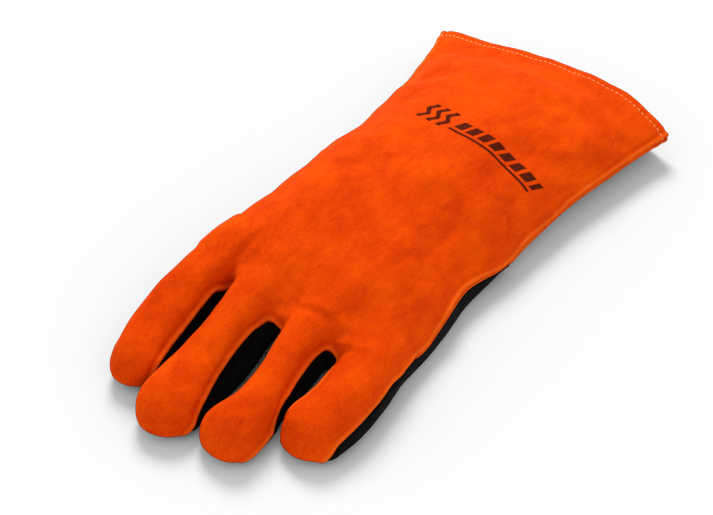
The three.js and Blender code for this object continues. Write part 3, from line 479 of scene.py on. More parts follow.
def seam_height(points, coords):
    """Height above the seam that parts the back (+) from the palm (-)."""
    x, y, z = points.T
    near_crotch = 1 - smooth(3, 13, crotch_distance(x, y))
    hand = (z - side_lines(x, y)[2] - 0.8 * near_crotch
            - curve(SIDE_SEAM, y) * smooth(52, 66, x))
    total = np.zeros(len(points))
    weights = np.full(len(points), 1e-9)
    on_finger = np.zeros(len(points))
    for name in ORDER:
        finger = FINGER[name]
        s, v = coords[name]
        half, seam, up, down = finger.size_at(s, v, z)
        side = smooth(-0.5, 0.5, v / half)
        # the seam rides higher on sides with a fork strip
        lifted = 0.4 * finger.forks[0] * (1 - side) + 0.3 * finger.forks[1] * side
        rise = 0.30 * up * lifted * smooth(finger.root - 6, finger.root + 14, s)
        past = np.maximum(0, s - finger.tip_start(half))
        turn = np.degrees(np.arctan2(past, np.maximum(0.1, np.abs(v))))
        tip = smooth(4, 42, turn)             # the back laps down over the fingertip
        height = z - (seam + rise) * (1 - tip) - 1.7 * tip
        weight = np.exp(-np.clip(np.abs(v) - half, -4, 40) / 2.0) * (s > -10)
        total += weight * height
        weights += weight
        on_finger += weight * smooth(finger.root - 12, finger.root - 1, s)
    share = on_finger / weights
    result = hand * (1 - share) + total / weights * share
    for (crotch_x, crotch_y), dip in zip(CROTCH, CROTCH_DIP):
        result = result + dip * (1 - smooth(3, 13, np.hypot(x - crotch_x, y - crotch_y)))
    return result


def fork_height(points, coords):
    """Height above the lower seam of the nearest fork strip, 99 where there is none."""
    z = points[:, 2]
    result = np.full(len(points), 99.0)
    closest = np.full(len(points), 1e9)
    for name in ORDER:
        finger = FINGER[name]
        s, v = coords[name]
        half, seam, _, down = finger.size_at(s, v, z)
        outside = np.abs(v) - half
        mine = (outside < closest) & (s > finger.root - 2) & (outside < 4)
        closest = np.where(mine, outside, closest)
        index_fork, little_fork = map(bool, finger.forks)
        strip = ((v > 0) & little_fork) | ((v < 0) & index_fork)
        strip &= (s < finger.length - 6) & (np.abs(v) > 0.5 * half)
        result = np.where(mine, np.where(strip, z - (seam - 0.80 * down), 99.0), result)
    return result


def finger_owner(points, coords):
    """Which finger each point lies on (1 to 4), 0 for the hand."""
    owner = np.zeros(len(points), int)
    best = np.full(len(points), -9.0)
    for i, name in enumerate(ORDER, 1):
        s, v = coords[name]
        field = finger_field(FINGER[name], s, v, points[:, 2])
        hit = (s > FINGER[name].root - 5) & (field > best)
        owner[hit] = i
        best[hit] = field[hit]
    return owner


# ------------------------------------------------------------------ swelling by a cloth pass
CLOTH = dict(
    quality=6, mass=0.3, tension_stiffness=12, compression_stiffness=12, shear_stiffness=4,
    bending_stiffness=2.0, use_pressure=True, uniform_pressure_force=0.8,
    vertex_group_mass="pin", pin_stiffness=1.5, vertex_group_shrink="shrink",
    shrink_min=-0.012, shrink_max=0.015,
)
CLOTH_STEP = 3.1              # spacing of the coarse copy
CLOTH_FRAMES = 20
CLOTH_LIMIT = 2.6             # most any point may move


def pin_weights(points, normals, gap):
    x, y, z = points.T
    up = normals[:, 2]
    return np.maximum.reduce([
        0.55 * bell(gap, 0, 3.5),                               # seams
        smooth(9, 3, crotch_distance(x, y)) * 0.8,              # crotches
        (up < -0.35) * 1.0,                                     # underside
        (z < 3.0) * 1.0,                                        # resting on the table
        0.97 * smooth(-26, -4, y - curve(HEM, x)),              # hem
        0.85 * smooth(0.35, -0.2, up),                          # steep sides
    ])


def inflate():
    """Light air pressure on a coarse copy; returns its points, normals and movements."""
    coarse, quads = glove_surface(CLOTH_STEP)
    coarse = taubin(coarse, quads, 3)
    normals = normals_of(coarse, quads)
    gap = seam_height(coarse, finger_coords(coarse))
    mesh = new_mesh("sim", to_metres(coarse), quads)
    sheet = link("sim", mesh)
    pin, shrink = pin_weights(coarse, normals, gap), bell(gap, 0, 4.0)
    pin_group = sheet.vertex_groups.new(name="pin")
    shrink_group = sheet.vertex_groups.new(name="shrink")
    for i in range(len(coarse)):
        if pin[i] > 0.01:
            pin_group.add([i], float(min(1.0, pin[i])), "REPLACE")
        shrink_group.add([i], float(shrink[i]), "REPLACE")
    cloth = sheet.modifiers.new("cloth", "CLOTH")
    for name, value in CLOTH.items():
        setattr(cloth.settings, name, value)
    cloth.settings.effector_weights.gravity = 0
    cloth.collision_settings.use_collision = False
    cloth.collision_settings.use_self_collision = False
    cloth.point_cache.frame_start, cloth.point_cache.frame_end = 1, CLOTH_FRAMES
    scene = bpy.context.scene
    for frame in range(1, CLOTH_FRAMES + 1):
        scene.frame_set(frame)
    result = sheet.evaluated_get(bpy.context.evaluated_depsgraph_get())
    moved = np.zeros(len(coarse) * 3, np.float32)
    result.data.vertices.foreach_get("co", moved)
    shift = moved.reshape(-1, 3).astype(float) * 1000 + PLAN_ORIGIN - coarse
    scene.frame_set(1)
    bpy.data.objects.remove(sheet)
    bpy.data.meshes.remove(mesh)

    # keep only smooth swelling along the normal, less most of its mean
    shift[~np.isfinite(shift).all(1)] = 0
    edges = edges_of(quads)
    counts = edge_counts(edges, len(coarse))
    outward = np.clip((shift * normals).sum(1), -3.5, 3.5)[:, None]
    for _ in range(5):
        outward = relax(outward, edges, counts, 0.5)
    shift = normals * outward
    loose_back = (normals[:, 2] > 0.5) & (pin < 0.1)
    free = 1 - np.clip(pin, 0, 1)
    shift -= normals * (0.8 * outward[loose_back, 0].mean() * free)[:, None]
    length = np.linalg.norm(shift, axis=1)
    shift *= (np.minimum(length, CLOTH_LIMIT) / np.maximum(length, 1e-9))[:, None]
    return coarse, normals, shift


def carry_over(coarse, coarse_normals, shift):
    """The coarse movements on the full surface, from near points facing the same way."""
    tree = point_tree(coarse, range(len(coarse)))
    carried = np.zeros_like(SURFACE)
    for i in range(len(SURFACE)):
        total, moved = 0.0, np.zeros(3)
        for _, j, distance in tree.find_n(SURFACE[i], 7):
            weight = max(0.0, coarse_normals[j] @ NORMALS[i]) ** 2 / (distance + 0.6) ** 2
            total += weight
            moved += weight * shift[j]
        if total > 0:
            carried[i] = moved / total
    return carried


def leather_folds():
    """Gentle folds, fewer below and near the table, and the puckers on the back."""
    x, y, z = SURFACE.T
    up = NORMALS[:, 2]
    broad = noise_at(SURFACE, size=34.0, seed=3.1, stretch=(1.15, 0.8, 1)) * 1.5
    small = noise_at(SURFACE, size=13.0, seed=9.7, stretch=(1.0, 0.75, 1)) * 0.55
    lift = (broad + small) * (0.25 + 0.75 * smooth(-0.2, 0.5, up)) * smooth(0.5, 4.0, z)
    lift *= 1 - 0.75 * bell(z, 0, 3.0)
    for pucker_x, pucker_y, length, width, degrees, height in PUCKERS:
        dx, dy = x - pucker_x, y - pucker_y
        cos, sin = math.cos(math.radians(degrees)), math.sin(math.radians(degrees))
        u, w = (dx * cos + dy * sin) / length, (-dx * sin + dy * cos) / width
        lift += height * np.exp(-(u * u + w * w)) * smooth(0.0, 0.5, up)
    return lift


SURFACE, QUADS = glove_surface(1.7)
SURFACE = taubin(SURFACE, QUADS, 5)
NORMALS = normals_of(SURFACE, QUADS)
swelling = carry_over(*inflate())
SHAPED = SURFACE + swelling + NORMALS * leather_folds()[:, None]
SHAPED[:, 2] = np.maximum(SHAPED[:, 2], np.where(SURFACE[:, 2] < 0.3, 0.0, 0.15))


# ------------------------------------------------------------------ finer surface, cut at seams
def fine_surface():
    """The surface subdivided once, with the seam values that the cuts follow."""
    mesh = new_mesh("fine", SHAPED, QUADS)
    store(mesh, "p0", SURFACE)                # rest point, before swelling and folds
    obj = link("fine", mesh)
    subdivision = obj.modifiers.new("sub", "SUBSURF")
    subdivision.levels = subdivision.render_levels = 1
    depsgraph = bpy.context.evaluated_depsgraph_get()
    fine = bpy.data.meshes.new_from_object(obj.evaluated_get(depsgraph))
    bpy.data.objects.remove(obj)
    rest = np.zeros(len(fine.vertices) * 3, np.float32)
    fine.attributes["p0"].data.foreach_get("vector", rest)
    rest = rest.reshape(-1, 3).astype(float)
    coords = finger_coords(rest)
    owner = finger_owner(rest, coords)
    store(fine, "gap", seam_height(rest, coords))
    store(fine, "hem", rest[:, 1] - curve(HEM, rest[:, 0]))
    for i, name in enumerate(ORDER, 1):
        store(fine, name, np.where(owner == i, coords[name][0], OFF_FINGER))
    return fine


def cut(value, snap=0.09):
    """Cuts the surface along value(vertex) = 0; returns the vertices on the cut."""
    bm.verts.index_update()
    values = np.array([value(v) for v in bm.verts])
    values[np.abs(values) < snap] = 0.0
    on_cut = [v for v in bm.verts if values[v.index] == 0.0]
    crossed = []
    for edge in bm.edges:
        a, b = edge.verts
        value_a, value_b = values[a.index], values[b.index]
        if value_a * value_b < 0 and abs(value_a - value_b) < 40:
            crossed.append((edge, a, value_a / (value_a - value_b)))
    for edge, a, t in crossed:
        on_cut.append(bmesh.utils.edge_split(edge, a, t)[1])
    members = set(on_cut)
    seen = set()
    for v in on_cut:
        for face in list(v.link_faces):
            if face in seen or not face.is_valid:
                continue
            seen.add(face)
            ends = [w for w in face.verts if w in members]
            if len(ends) == 2 and not any(set(e.verts) == set(ends) for e in face.edges):
                bmesh.utils.face_split(face, ends[0], ends[1])
    return members


fine_mesh = fine_surface()
bm = bmesh.new()
bm.from_mesh(fine_mesh)
LAYER = {name: bm.verts.layers.float[name] for name in ["gap", "hem"] + ORDER}
GAP, HEM_GAP = LAYER["gap"], LAYER["hem"]
REST = bm.verts.layers.float_vector["p0"]

seam_verts = cut(lambda v: v[GAP])
cut(lambda v: v[HEM_GAP])
wrist_verts = cut(lambda v: v[REST][1] - WRIST_CUT if v[GAP] < 0.3 else 60.0)
for name in ORDER:
    for s_cut in (FINGER[name].root, FINGER[name].split):
        cut(lambda v: v[LAYER[name]] - s_cut if v[LAYER[name]] > -20 else 99.0)
past_edge = [v for v in bm.verts if v[HEM_GAP] > 0.12]
bmesh.ops.delete(bm, geom=past_edge, context="VERTS")
bm.verts.index_update()
bm.normal_update()


# ------------------------------------------------------------------ rolled edges and folded hem
def roll_edges():
    """Shapes the leather beside its seams; returns distances to the main and to any seam."""
    points = np.array([v.co for v in bm.verts])
    rest = np.array([v[REST] for v in bm.verts])
    gap = np.array([v[GAP] for v in bm.verts])
    from_hem = -np.array([v[HEM_GAP] for v in bm.verts])
    normals = np.array([v.normal for v in bm.verts])

    def distance_to(verts):
        tree = point_tree(points, [v.index for v in verts if v.is_valid])
        return np.array([min(FAR, tree.find(p)[2]) for p in points])

    seam, wrist = distance_to(seam_verts), distance_to(wrist_verts)
    fork = np.abs(fork_height(rest, finger_coords(rest))) * 0.9
    fork = np.where(gap < -0.5, fork, FAR)
    out = np.where(gap > 0, roll(seam, BACK_ROLL), roll(seam, PALM_ROLL))
    out += roll(wrist, WRIST_ROLL)
    out += roll(fork, FORK_ROLL)
    # the folded hem is thicker, as far in as its inner layer reaches
    out += roll(from_hem, HEM_ROLL) + 0.25 * (1 - smooth(9.5, 11.5, from_hem))
    points = points + normals * out[:, None]
    points[:, 2] = np.maximum(points[:, 2], 0.02)
    for v, p in zip(bm.verts, points):
        v.co = p
    bm.normal_update()
    return seam, np.minimum(np.minimum(seam, wrist), fork)


def fold_hem(radius=1.6, turn_steps=7, back_rows=5, back_step=2.0):
    """Turns the surface round the hem edge and back inside; returns the new vertices."""
    tree = BVHTree.FromBMesh(bm)
    edges = [e for e in bm.edges
             if e.is_boundary and min(e.verts[0].co.y, e.verts[1].co.y) > 150]
    neighbours = {}
    for edge in edges:
        for v, other in (edge.verts, reversed(edge.verts)):
            neighbours.setdefault(v, []).append(other)

    def directions(v):
        """Outward normal, and the way out of the cuff along the surface."""
        n = v.normal.copy()
        t = Vector((0, 1, 0)) - n * n.y
        t.normalize()
        return n, t

    # offsets of the inner rows, which follow the outer layer at a set depth
    inner = {}
    for v in neighbours:
        n, t = directions(v)
        offsets = []
        for row in range(1, back_rows + 1):
            back = back_step * row
            found, found_normal, _, distance = tree.find_nearest(v.co - t * back)
            if distance > 3.0:
                offsets.append(-n * (2 * radius) - t * back)
            else:
                offsets.append(found - found_normal * (2 * radius) - v.co)
        inner[v] = offsets
    for _ in range(6):
        inner = {v: [(inner[v][j] * 2 + sum((inner[w][j] for w in near), Vector()))
                     / (2 + len(near)) for j in range(back_rows)]
                 for v, near in neighbours.items()}

    added, columns = [], {}
    for v in neighbours:
        n, t = directions(v)
        rows = []                             # length round the fold, offset from the edge
        for j in range(1, turn_steps + 1):
            angle = math.pi * j / turn_steps
            offset = t * (radius * math.sin(angle)) - n * (radius * (1 - math.cos(angle)))
            rows.append((radius * angle, offset))
        for j in range(back_rows):
            rows.append((radius * math.pi + (j + 1) * back_step, inner[v][j]))
        columns[v] = [v]
        for arc, offset in rows:
            new = bm.verts.new(v.co + offset)
            new[REST] = Vector(v[REST]) + Vector((0, arc, 0))
            new[GAP] = v[GAP]
            new[HEM_GAP] = arc
            for name in ORDER:
                new[LAYER[name]] = OFF_FINGER
            columns[v].append(new)
            added.append(new)
    for edge in edges:
        loop = edge.link_loops[0]
        a, b = columns[loop.vert], columns[loop.link_loop_next.vert]
        for j in range(turn_steps + back_rows):
            bm.faces.new((b[j], a[j], a[j + 1], b[j + 1]))
    return added


main_seam, any_seam = roll_edges()
verts = list(bm.verts)
hem_verts = fold_hem()
verts += hem_verts
for i, v in enumerate(verts):
    v.index = i
bm.normal_update()

# points, normals, rest points, distance to the nearest seam, faces
Surface = namedtuple("Surface", "points normals rest seam faces")
no_seam = np.full(len(hem_verts), FAR)
OUTER = Surface(
    points=np.array([v.co for v in verts]),
    normals=np.array([v.normal for v in verts]),
    rest=np.array([v[REST] for v in verts]),
    seam=np.concatenate([any_seam, no_seam]),
    faces=[[v.index for v in face.verts] for face in bm.faces],
)
VALUE = {name: np.array([v[layer] for v in verts]) for name, layer in LAYER.items()}
main_seam = np.concatenate([main_seam, no_seam])
bm.free()


# ------------------------------------------------------------------ leather panels
def face_mean(values):
    counts = np.array([len(face) for face in OUTER.faces])
    flat = np.fromiter((i for face in OUTER.faces for i in face), int)
    face_of = np.repeat(np.arange(len(counts)), counts)
    return np.bincount(face_of, values[flat], len(counts)) / counts


def panel_names():
    gap, y = face_mean(VALUE["gap"]), face_mean(OUTER.rest[:, 1])
    panel = np.full(len(OUTER.faces), "back", dtype=object)
    panel[gap < 0] = "palm"
    panel[(gap < 0) & (y > WRIST_CUT)] = "cuff_underside"
    for name in ORDER:
        s = face_mean(VALUE[name])
        root, split = FINGER[name].root, FINGER[name].split
        for segment, on in (("base", (s > root) & (s <= split)), ("tip", s > split)):
            panel[on & (gap >= 0)] = f"{name}_{segment}_back"
            panel[on & (gap < 0)] = f"{name}_{segment}_palm"
    return panel


def shell(name, surface, selection, thickness):
    """Closed panel: outer faces, inner faces offset inward, and the cut edge all round."""
    faces = [surface.faces[i] for i in selection]
    ids = sorted({i for face in faces for i in face})
    renumber = {v: j for j, v in enumerate(ids)}
    n = len(ids)
    outer, normals = surface.points[ids], surface.normals[ids]
    inner = outer - normals * thickness
    inner[:, 2] = np.where(outer[:, 2] >= 0, np.maximum(inner[:, 2], 0.02), inner[:, 2])
    faces = [[renumber[i] for i in face] for face in faces]
    rim = set()
    for face in faces:
        for a, b in zip(face, face[1:] + face[:1]):
            if (b, a) in rim:
                rim.discard((b, a))
            else:
                rim.add((a, b))
    all_faces = (faces + [[i + n for i in reversed(face)] for face in faces]
                 + [[b, a, a + n, b + n] for a, b in rim])
    mesh = new_mesh(name, to_metres(np.concatenate([outer, inner])), all_faces)
    store(mesh, "p0", np.concatenate([surface.rest[ids]] * 2))
    store(mesh, "seam", np.concatenate([surface.seam[ids]] * 2))
    mesh.polygons.foreach_set("use_smooth", [True] * len(mesh.polygons))
    both_sides = np.concatenate([normals, -normals])
    mesh.normals_split_custom_set_from_vertices([tuple(v) for v in both_sides])
    return link(name, mesh)


panel_of = panel_names()
panels = {name: shell(name, OUTER, np.nonzero(panel_of == name)[0], LEATHER)
          for name in sorted(set(panel_of))}

# ------------------------------------------------------------------ thumb
THUMB = with_lengths(THUMB_LINE)
THUMB_END = THUMB[-1][0]


def thumb_point(s, angle, inset):
    x, y, dx, dy = along(THUMB, s)
    end = np.clip((s - (THUMB_END - inset - 14)) / 14, 0, 1) ** 2.2
    taper = np.sqrt(np.clip(1 - end, 1e-6, 1))
    half = (curve(THUMB_HALF, s) - inset) * taper
    tall = (curve(THUMB_TALL, s) - inset) * taper ** 0.8
    cos, sin = np.cos(angle), np.sin(angle)
    across = np.sign(cos) * np.abs(cos) ** (2 / THUMB_POWER)
    up = np.sign(sin) * np.abs(sin) ** (2 / THUMB_POWER)
    return np.stack([x - dy * half * across, y + dx * half * across,
                     curve(THUMB, s, 3) + tall * up], -1)


def thumb_piece(name, s_range, degrees, inset=0.0, thickness=LEATHER, tip=False):
    """Part of the thumb between two lengths and two angles; 360 degrees closes it."""
    (start, end), (first, last) = s_range, degrees
    rows = max(12, int((end - start) / 1.1))
    columns = max(16, int(abs(last - first) / 3.0))
    t = np.linspace(0, 1, rows)
    if tip:                                   # closer rows towards the tip
        t = 1 - (1 - t) ** 1.6
    closed = abs(last - first) > 359
    angles = np.radians(np.linspace(first, last, columns, endpoint=not closed))
    s, angle = np.meshgrid(start + (end - start) * t, angles, indexing="ij")
    points = thumb_point(s.ravel(), angle.ravel(), inset).reshape(rows, columns, 3)
    down_rows = np.gradient(points, axis=0)
    if closed:
        round_rows = (np.roll(points, -1, 1) - np.roll(points, 1, 1)) / 2
    else:
        round_rows = np.gradient(points, axis=1)
    normals = np.cross(down_rows, round_rows)
    normals /= np.maximum(1e-9, np.linalg.norm(normals, axis=2))[..., None]
    centre = np.stack([*along(THUMB, s)[:2], curve(THUMB, s, 3)], -1)
    if ((points - centre) * normals).sum() < 0:
        normals = -normals
    if tip:
        normals[-1] = [*along(THUMB, end)[2:], 0.0]
    if closed:
        seam = np.full_like(angle, FAR)
    else:
        mean_radius = 12.0
        seam = np.minimum(np.abs(angle - angles[0]) * mean_radius,
                          np.abs(angle - angles[-1]) * mean_radius)
        folds = noise_at(points.reshape(-1, 3), size=15.0, seed=5.5).reshape(rows, columns)
        points = points + normals * (roll(seam, THUMB_ROLL) + folds * 0.55 - 0.15)[..., None]
    points[..., 2] = np.clip(points[..., 2], 0.15, 20.6)    # between the table and the palm
    faces = []
    for i in range(rows - 1):
        for j in range(columns if closed else columns - 1):
            j2 = (j + 1) % columns
            faces.append([i * columns + j, i * columns + j2,
                          (i + 1) * columns + j2, (i + 1) * columns + j])
    points, normals = points.reshape(-1, 3), normals.reshape(-1, 3)
    a, b, c, _ = faces[len(faces) // 2]
    if np.cross(points[b] - points[a], points[c] - points[b]) @ normals[a] < 0:
        faces = [face[::-1] for face in faces]
    # its rest points are moved aside, for a texture of its own
    rest = points + np.array([300.0, 0, 0])
    surface = Surface(points, normals, rest, seam.ravel(), faces)
    return shell(name, surface, range(len(faces)), thickness)


def thumb_pieces():
    back_arc = THUMB_SEAMS
    palm_arc = (THUMB_SEAMS[1], THUMB_SEAMS[0] + 360)
    base, tip = (-3, THUMB_CUT), (THUMB_CUT, THUMB_END - 0.05)
    inner = dict(degrees=(0, 360), inset=THUMB_LINING_INSET, thickness=FLEECE)
    pieces = [
        thumb_piece("thumb_base_back", base, back_arc),
        thumb_piece("thumb_base_palm", base, palm_arc),
        thumb_piece("thumb_tip_back", tip, back_arc, tip=True),
        thumb_piece("thumb_tip_palm", tip, palm_arc, tip=True),
        thumb_piece("thumb_base_lining", (0, THUMB_CUT), **inner),
        thumb_piece("thumb_tip_lining", (THUMB_CUT, THUMB_END - 4.5), **inner),
    ]
    return {piece.name: piece for piece in pieces}


thumb = thumb_pieces()


# ------------------------------------------------------------------ lining
def lining_pieces():
    """An inner surface a fixed depth below the leather, parted like the fingers."""
    level_set = vdb.FloatGrid.createLevelSetFromPolygons(
        SHAPED.astype(np.float32), quads=QUADS.astype(np.uint32),
        transform=vdb.createLinearTransform(1.6), halfWidth=5.0)
    points, quads = level_set.convertToQuads(-LINING_DEPTH)
    points, quads = points.astype(float), quads.astype(np.int64)
    points = taubin(points, quads, 4)
    normals = normals_of(points, quads)
    if normals[np.argmax(points[:, 2])][2] < 0:
        quads = quads[:, ::-1]
        normals = -normals
    coords = finger_coords(points)
    owner = finger_owner(points, coords)
    past_mouth = points[:, 1] - (curve(HEM, points[:, 0]) - LINING_SHORT)
    part = np.full(len(quads), "gauntlet_lining", dtype=object)
    part[(past_mouth[quads] > 0).any(1)] = ""
    for i, name in enumerate(ORDER, 1):
        on_finger = (owner[quads] == i).all(1)
        s = np.where(on_finger, coords[name][0][quads].mean(1), OFF_FINGER)
        part[s > FINGER[name].root] = name + "_base_lining"
        part[s > FINGER[name].split] = name + "_tip_lining"
    # pull the open edge to one clean line under the hem
    gauntlet = np.unique(quads[part == "gauntlet_lining"])
    edge = gauntlet[past_mouth[gauntlet] > -2.4]
    points[edge, 1] = curve(HEM, points[edge, 0]) - LINING_SHORT
    faces = [list(map(int, quad)) for quad in quads]
    surface = Surface(points, normals, points, np.full(len(points), FAR), faces)
    return {name: shell(name, surface, np.nonzero(part == name)[0], FLEECE)
            for name in sorted(set(part)) if name}


lining = lining_pieces()


# ------------------------------------------------------------------ stitches and side welts
def tube_faces(rings, sides, first=0):
    """Capped tube over rings of points, numbered from first."""
    faces = []
    for i in range(rings - 1):
        a, b = first + i * sides, first + (i + 1) * sides
        for j in range(sides):
            j2 = (j + 1) % sides
            faces.append([a + j, a + j2, b + j2, b + j])
    last = first + (rings - 1) * sides
    faces.append([first + j for j in reversed(range(sides))])
    faces.append([last + j for j in range(sides)])
    return faces


def cord(name, points, faces, seam=None):
    """Smooth object from tubes, with the point attributes its material reads."""
    mesh = new_mesh(name, to_metres(points), faces)
    store(mesh, "p0", points)
    if seam is not None:
        store(mesh, "seam", np.full(len(points), seam))
    mesh.polygons.foreach_set("use_smooth", [True] * len(mesh.polygons))
    work = bmesh.new()
    work.from_mesh(mesh)
    bmesh.ops.recalc_face_normals(work, faces=work.faces)
    work.to_mesh(mesh)
    work.free()
    return link(name, mesh)


def stitch_ring():
    """Smoothed closed line round the cuff at the stitch row, and the length at each point."""
    ids = np.nonzero(np.abs(VALUE["hem"] + STITCH_ROW) < 0.7)[0]
    x, z = OUTER.points[ids, 0], OUTER.points[ids, 2]
    # the flat mouth is stretched upwards so that the angles are spread evenly
    middle_x, middle_z, stretch = (x.min() + x.max()) / 2, 14.0, 4.5
    angle = np.arctan2((z - middle_z) * stretch, x - middle_x)
    order = np.argsort(angle)
    ids, angle = ids[order], angle[order]
    grid = np.linspace(-math.pi, math.pi, 721)[:-1]
    ring = np.stack([np.interp(grid, angle, OUTER.points[ids, c], period=2 * math.pi)
                     for c in range(3)], 1)
    for _ in range(4):
        ring = (np.roll(ring, 1, 0) + ring * 2 + np.roll(ring, -1, 0)) / 4
    steps = np.linalg.norm(np.roll(ring, -1, 0) - ring, axis=1)
    return np.concatenate([ring, ring[:1]]), np.concatenate([[0], np.cumsum(steps)])


def hem_stitching(near_pitch=3.4, segments=7, sides=6, radius=0.36):
    """Row of short raised threads lying on the surface."""
    near_row = np.nonzero(np.abs(VALUE["hem"] + STITCH_ROW) < 3)[0]
    tree = point_tree(OUTER.points, near_row)
    ring, lengths = stitch_ring()
    total = lengths[-1]

    def on_surface(u):
        """Point on the surface beside the ring at length u, and its normal."""
        p = np.array([np.interp(u % total, lengths, ring[:, c]) for c in range(3)])
        point, normal, weights = np.zeros(3), np.zeros(3), 0.0
        for _, j, distance in tree.find_n(p, 5):
            weight = 1 / (distance + 0.15) ** 2
            point += weight * OUTER.points[j]
            normal += weight * OUTER.normals[j]
            weights += weight
        normal /= np.linalg.norm(normal)
        return p + normal * ((point / weights - p) @ normal), normal

    count = int(round(total / near_pitch))
    pitch = total / count
    thread = pitch - 0.8                      # length of one stitch
    points, faces = [], []
    for i in range(count):
        faces += tube_faces(segments + 1, sides, first=len(points))
        for a in range(segments + 1):
            t = a / segments
            centre, normal = on_surface(i * pitch + 0.35 + thread * t)
            ahead, _ = on_surface(i * pitch + 0.45 + thread * t)
            tangent = ahead - centre
            tangent /= max(1e-9, np.linalg.norm(tangent))
            across = np.cross(normal, tangent)
            arch = math.sin(math.pi * t) ** 0.6
            r = radius * (0.45 + 0.55 * arch)
            for b in range(sides):
                angle = 2 * math.pi * b / sides
                points.append(centre + normal * (0.30 * arch - 0.22)
                              + across * (r * math.cos(angle))
                              + normal * (r * 0.85 * math.sin(angle)))
    return cord("hem_stitches", np.array(points), faces)


def side_welt(name, index_side, start, end, sides=8):
    """Thin leather cord in a side seam, between two values of y."""
    x, y = OUTER.rest[:, 0], OUTER.rest[:, 1]
    if index_side:
        at_edge = x < curve(SIDES, y, 1) + 4.5
    else:
        at_edge = x > curve(SIDES, y, 2) - 4.5
    ids = np.nonzero((main_seam < 0.05) & at_edge & (y > start - 2) & (y < end + 2)
                     & (np.abs(VALUE["gap"]) < 0.3))[0]
    # medians over short lengths, so that no single point pulls the cord away
    known_y, known_points, known_normals = [], [], []
    for middle in np.arange(start - 1, end + 2, 2.0):
        near = ids[np.abs(y[ids] - middle) < 1.6]
        if len(near):
            known_y.append(middle)
            known_points.append(np.median(OUTER.points[near], axis=0))
            known_normals.append(OUTER.normals[near].mean(0))
    path_y = np.arange(start, end, 1.5)
    path, normals = (
        np.stack([np.interp(path_y, known_y, np.array(known)[:, c]) for c in range(3)], 1)
        for known in (known_points, known_normals))
    for _ in range(3):
        for line in (path, normals):
            line[1:-1] = (line[:-2] + 2 * line[1:-1] + line[2:]) / 4
    normals /= np.linalg.norm(normals, axis=1)[:, None]
    tangents = np.gradient(path, axis=0)
    tangents /= np.linalg.norm(tangents, axis=1)[:, None]
    across = np.cross(tangents, normals)
    points = []
    for i in range(len(path)):
        taper = min(1.0, 0.35 + min(i, len(path) - 1 - i) * 0.3)
        for j in range(sides):
            angle = 2 * math.pi * j / sides
            points.append(path[i] + normals[i] * (0.35 + 0.72 * taper * math.sin(angle))
                          + across[i] * (0.62 * taper * math.cos(angle)))
    points = np.array(points)
    points[:, 2] = np.maximum(points[:, 2], 0.05)
    return cord(name, points, tube_faces(len(path), sides), seam=1.6)


stitches = hem_stitching()
welts = {
    "index_side": side_welt("side_welt_index", True, start=-52, end=180),
    "little_side": side_welt("side_welt_little", False, start=-56, end=172),
}


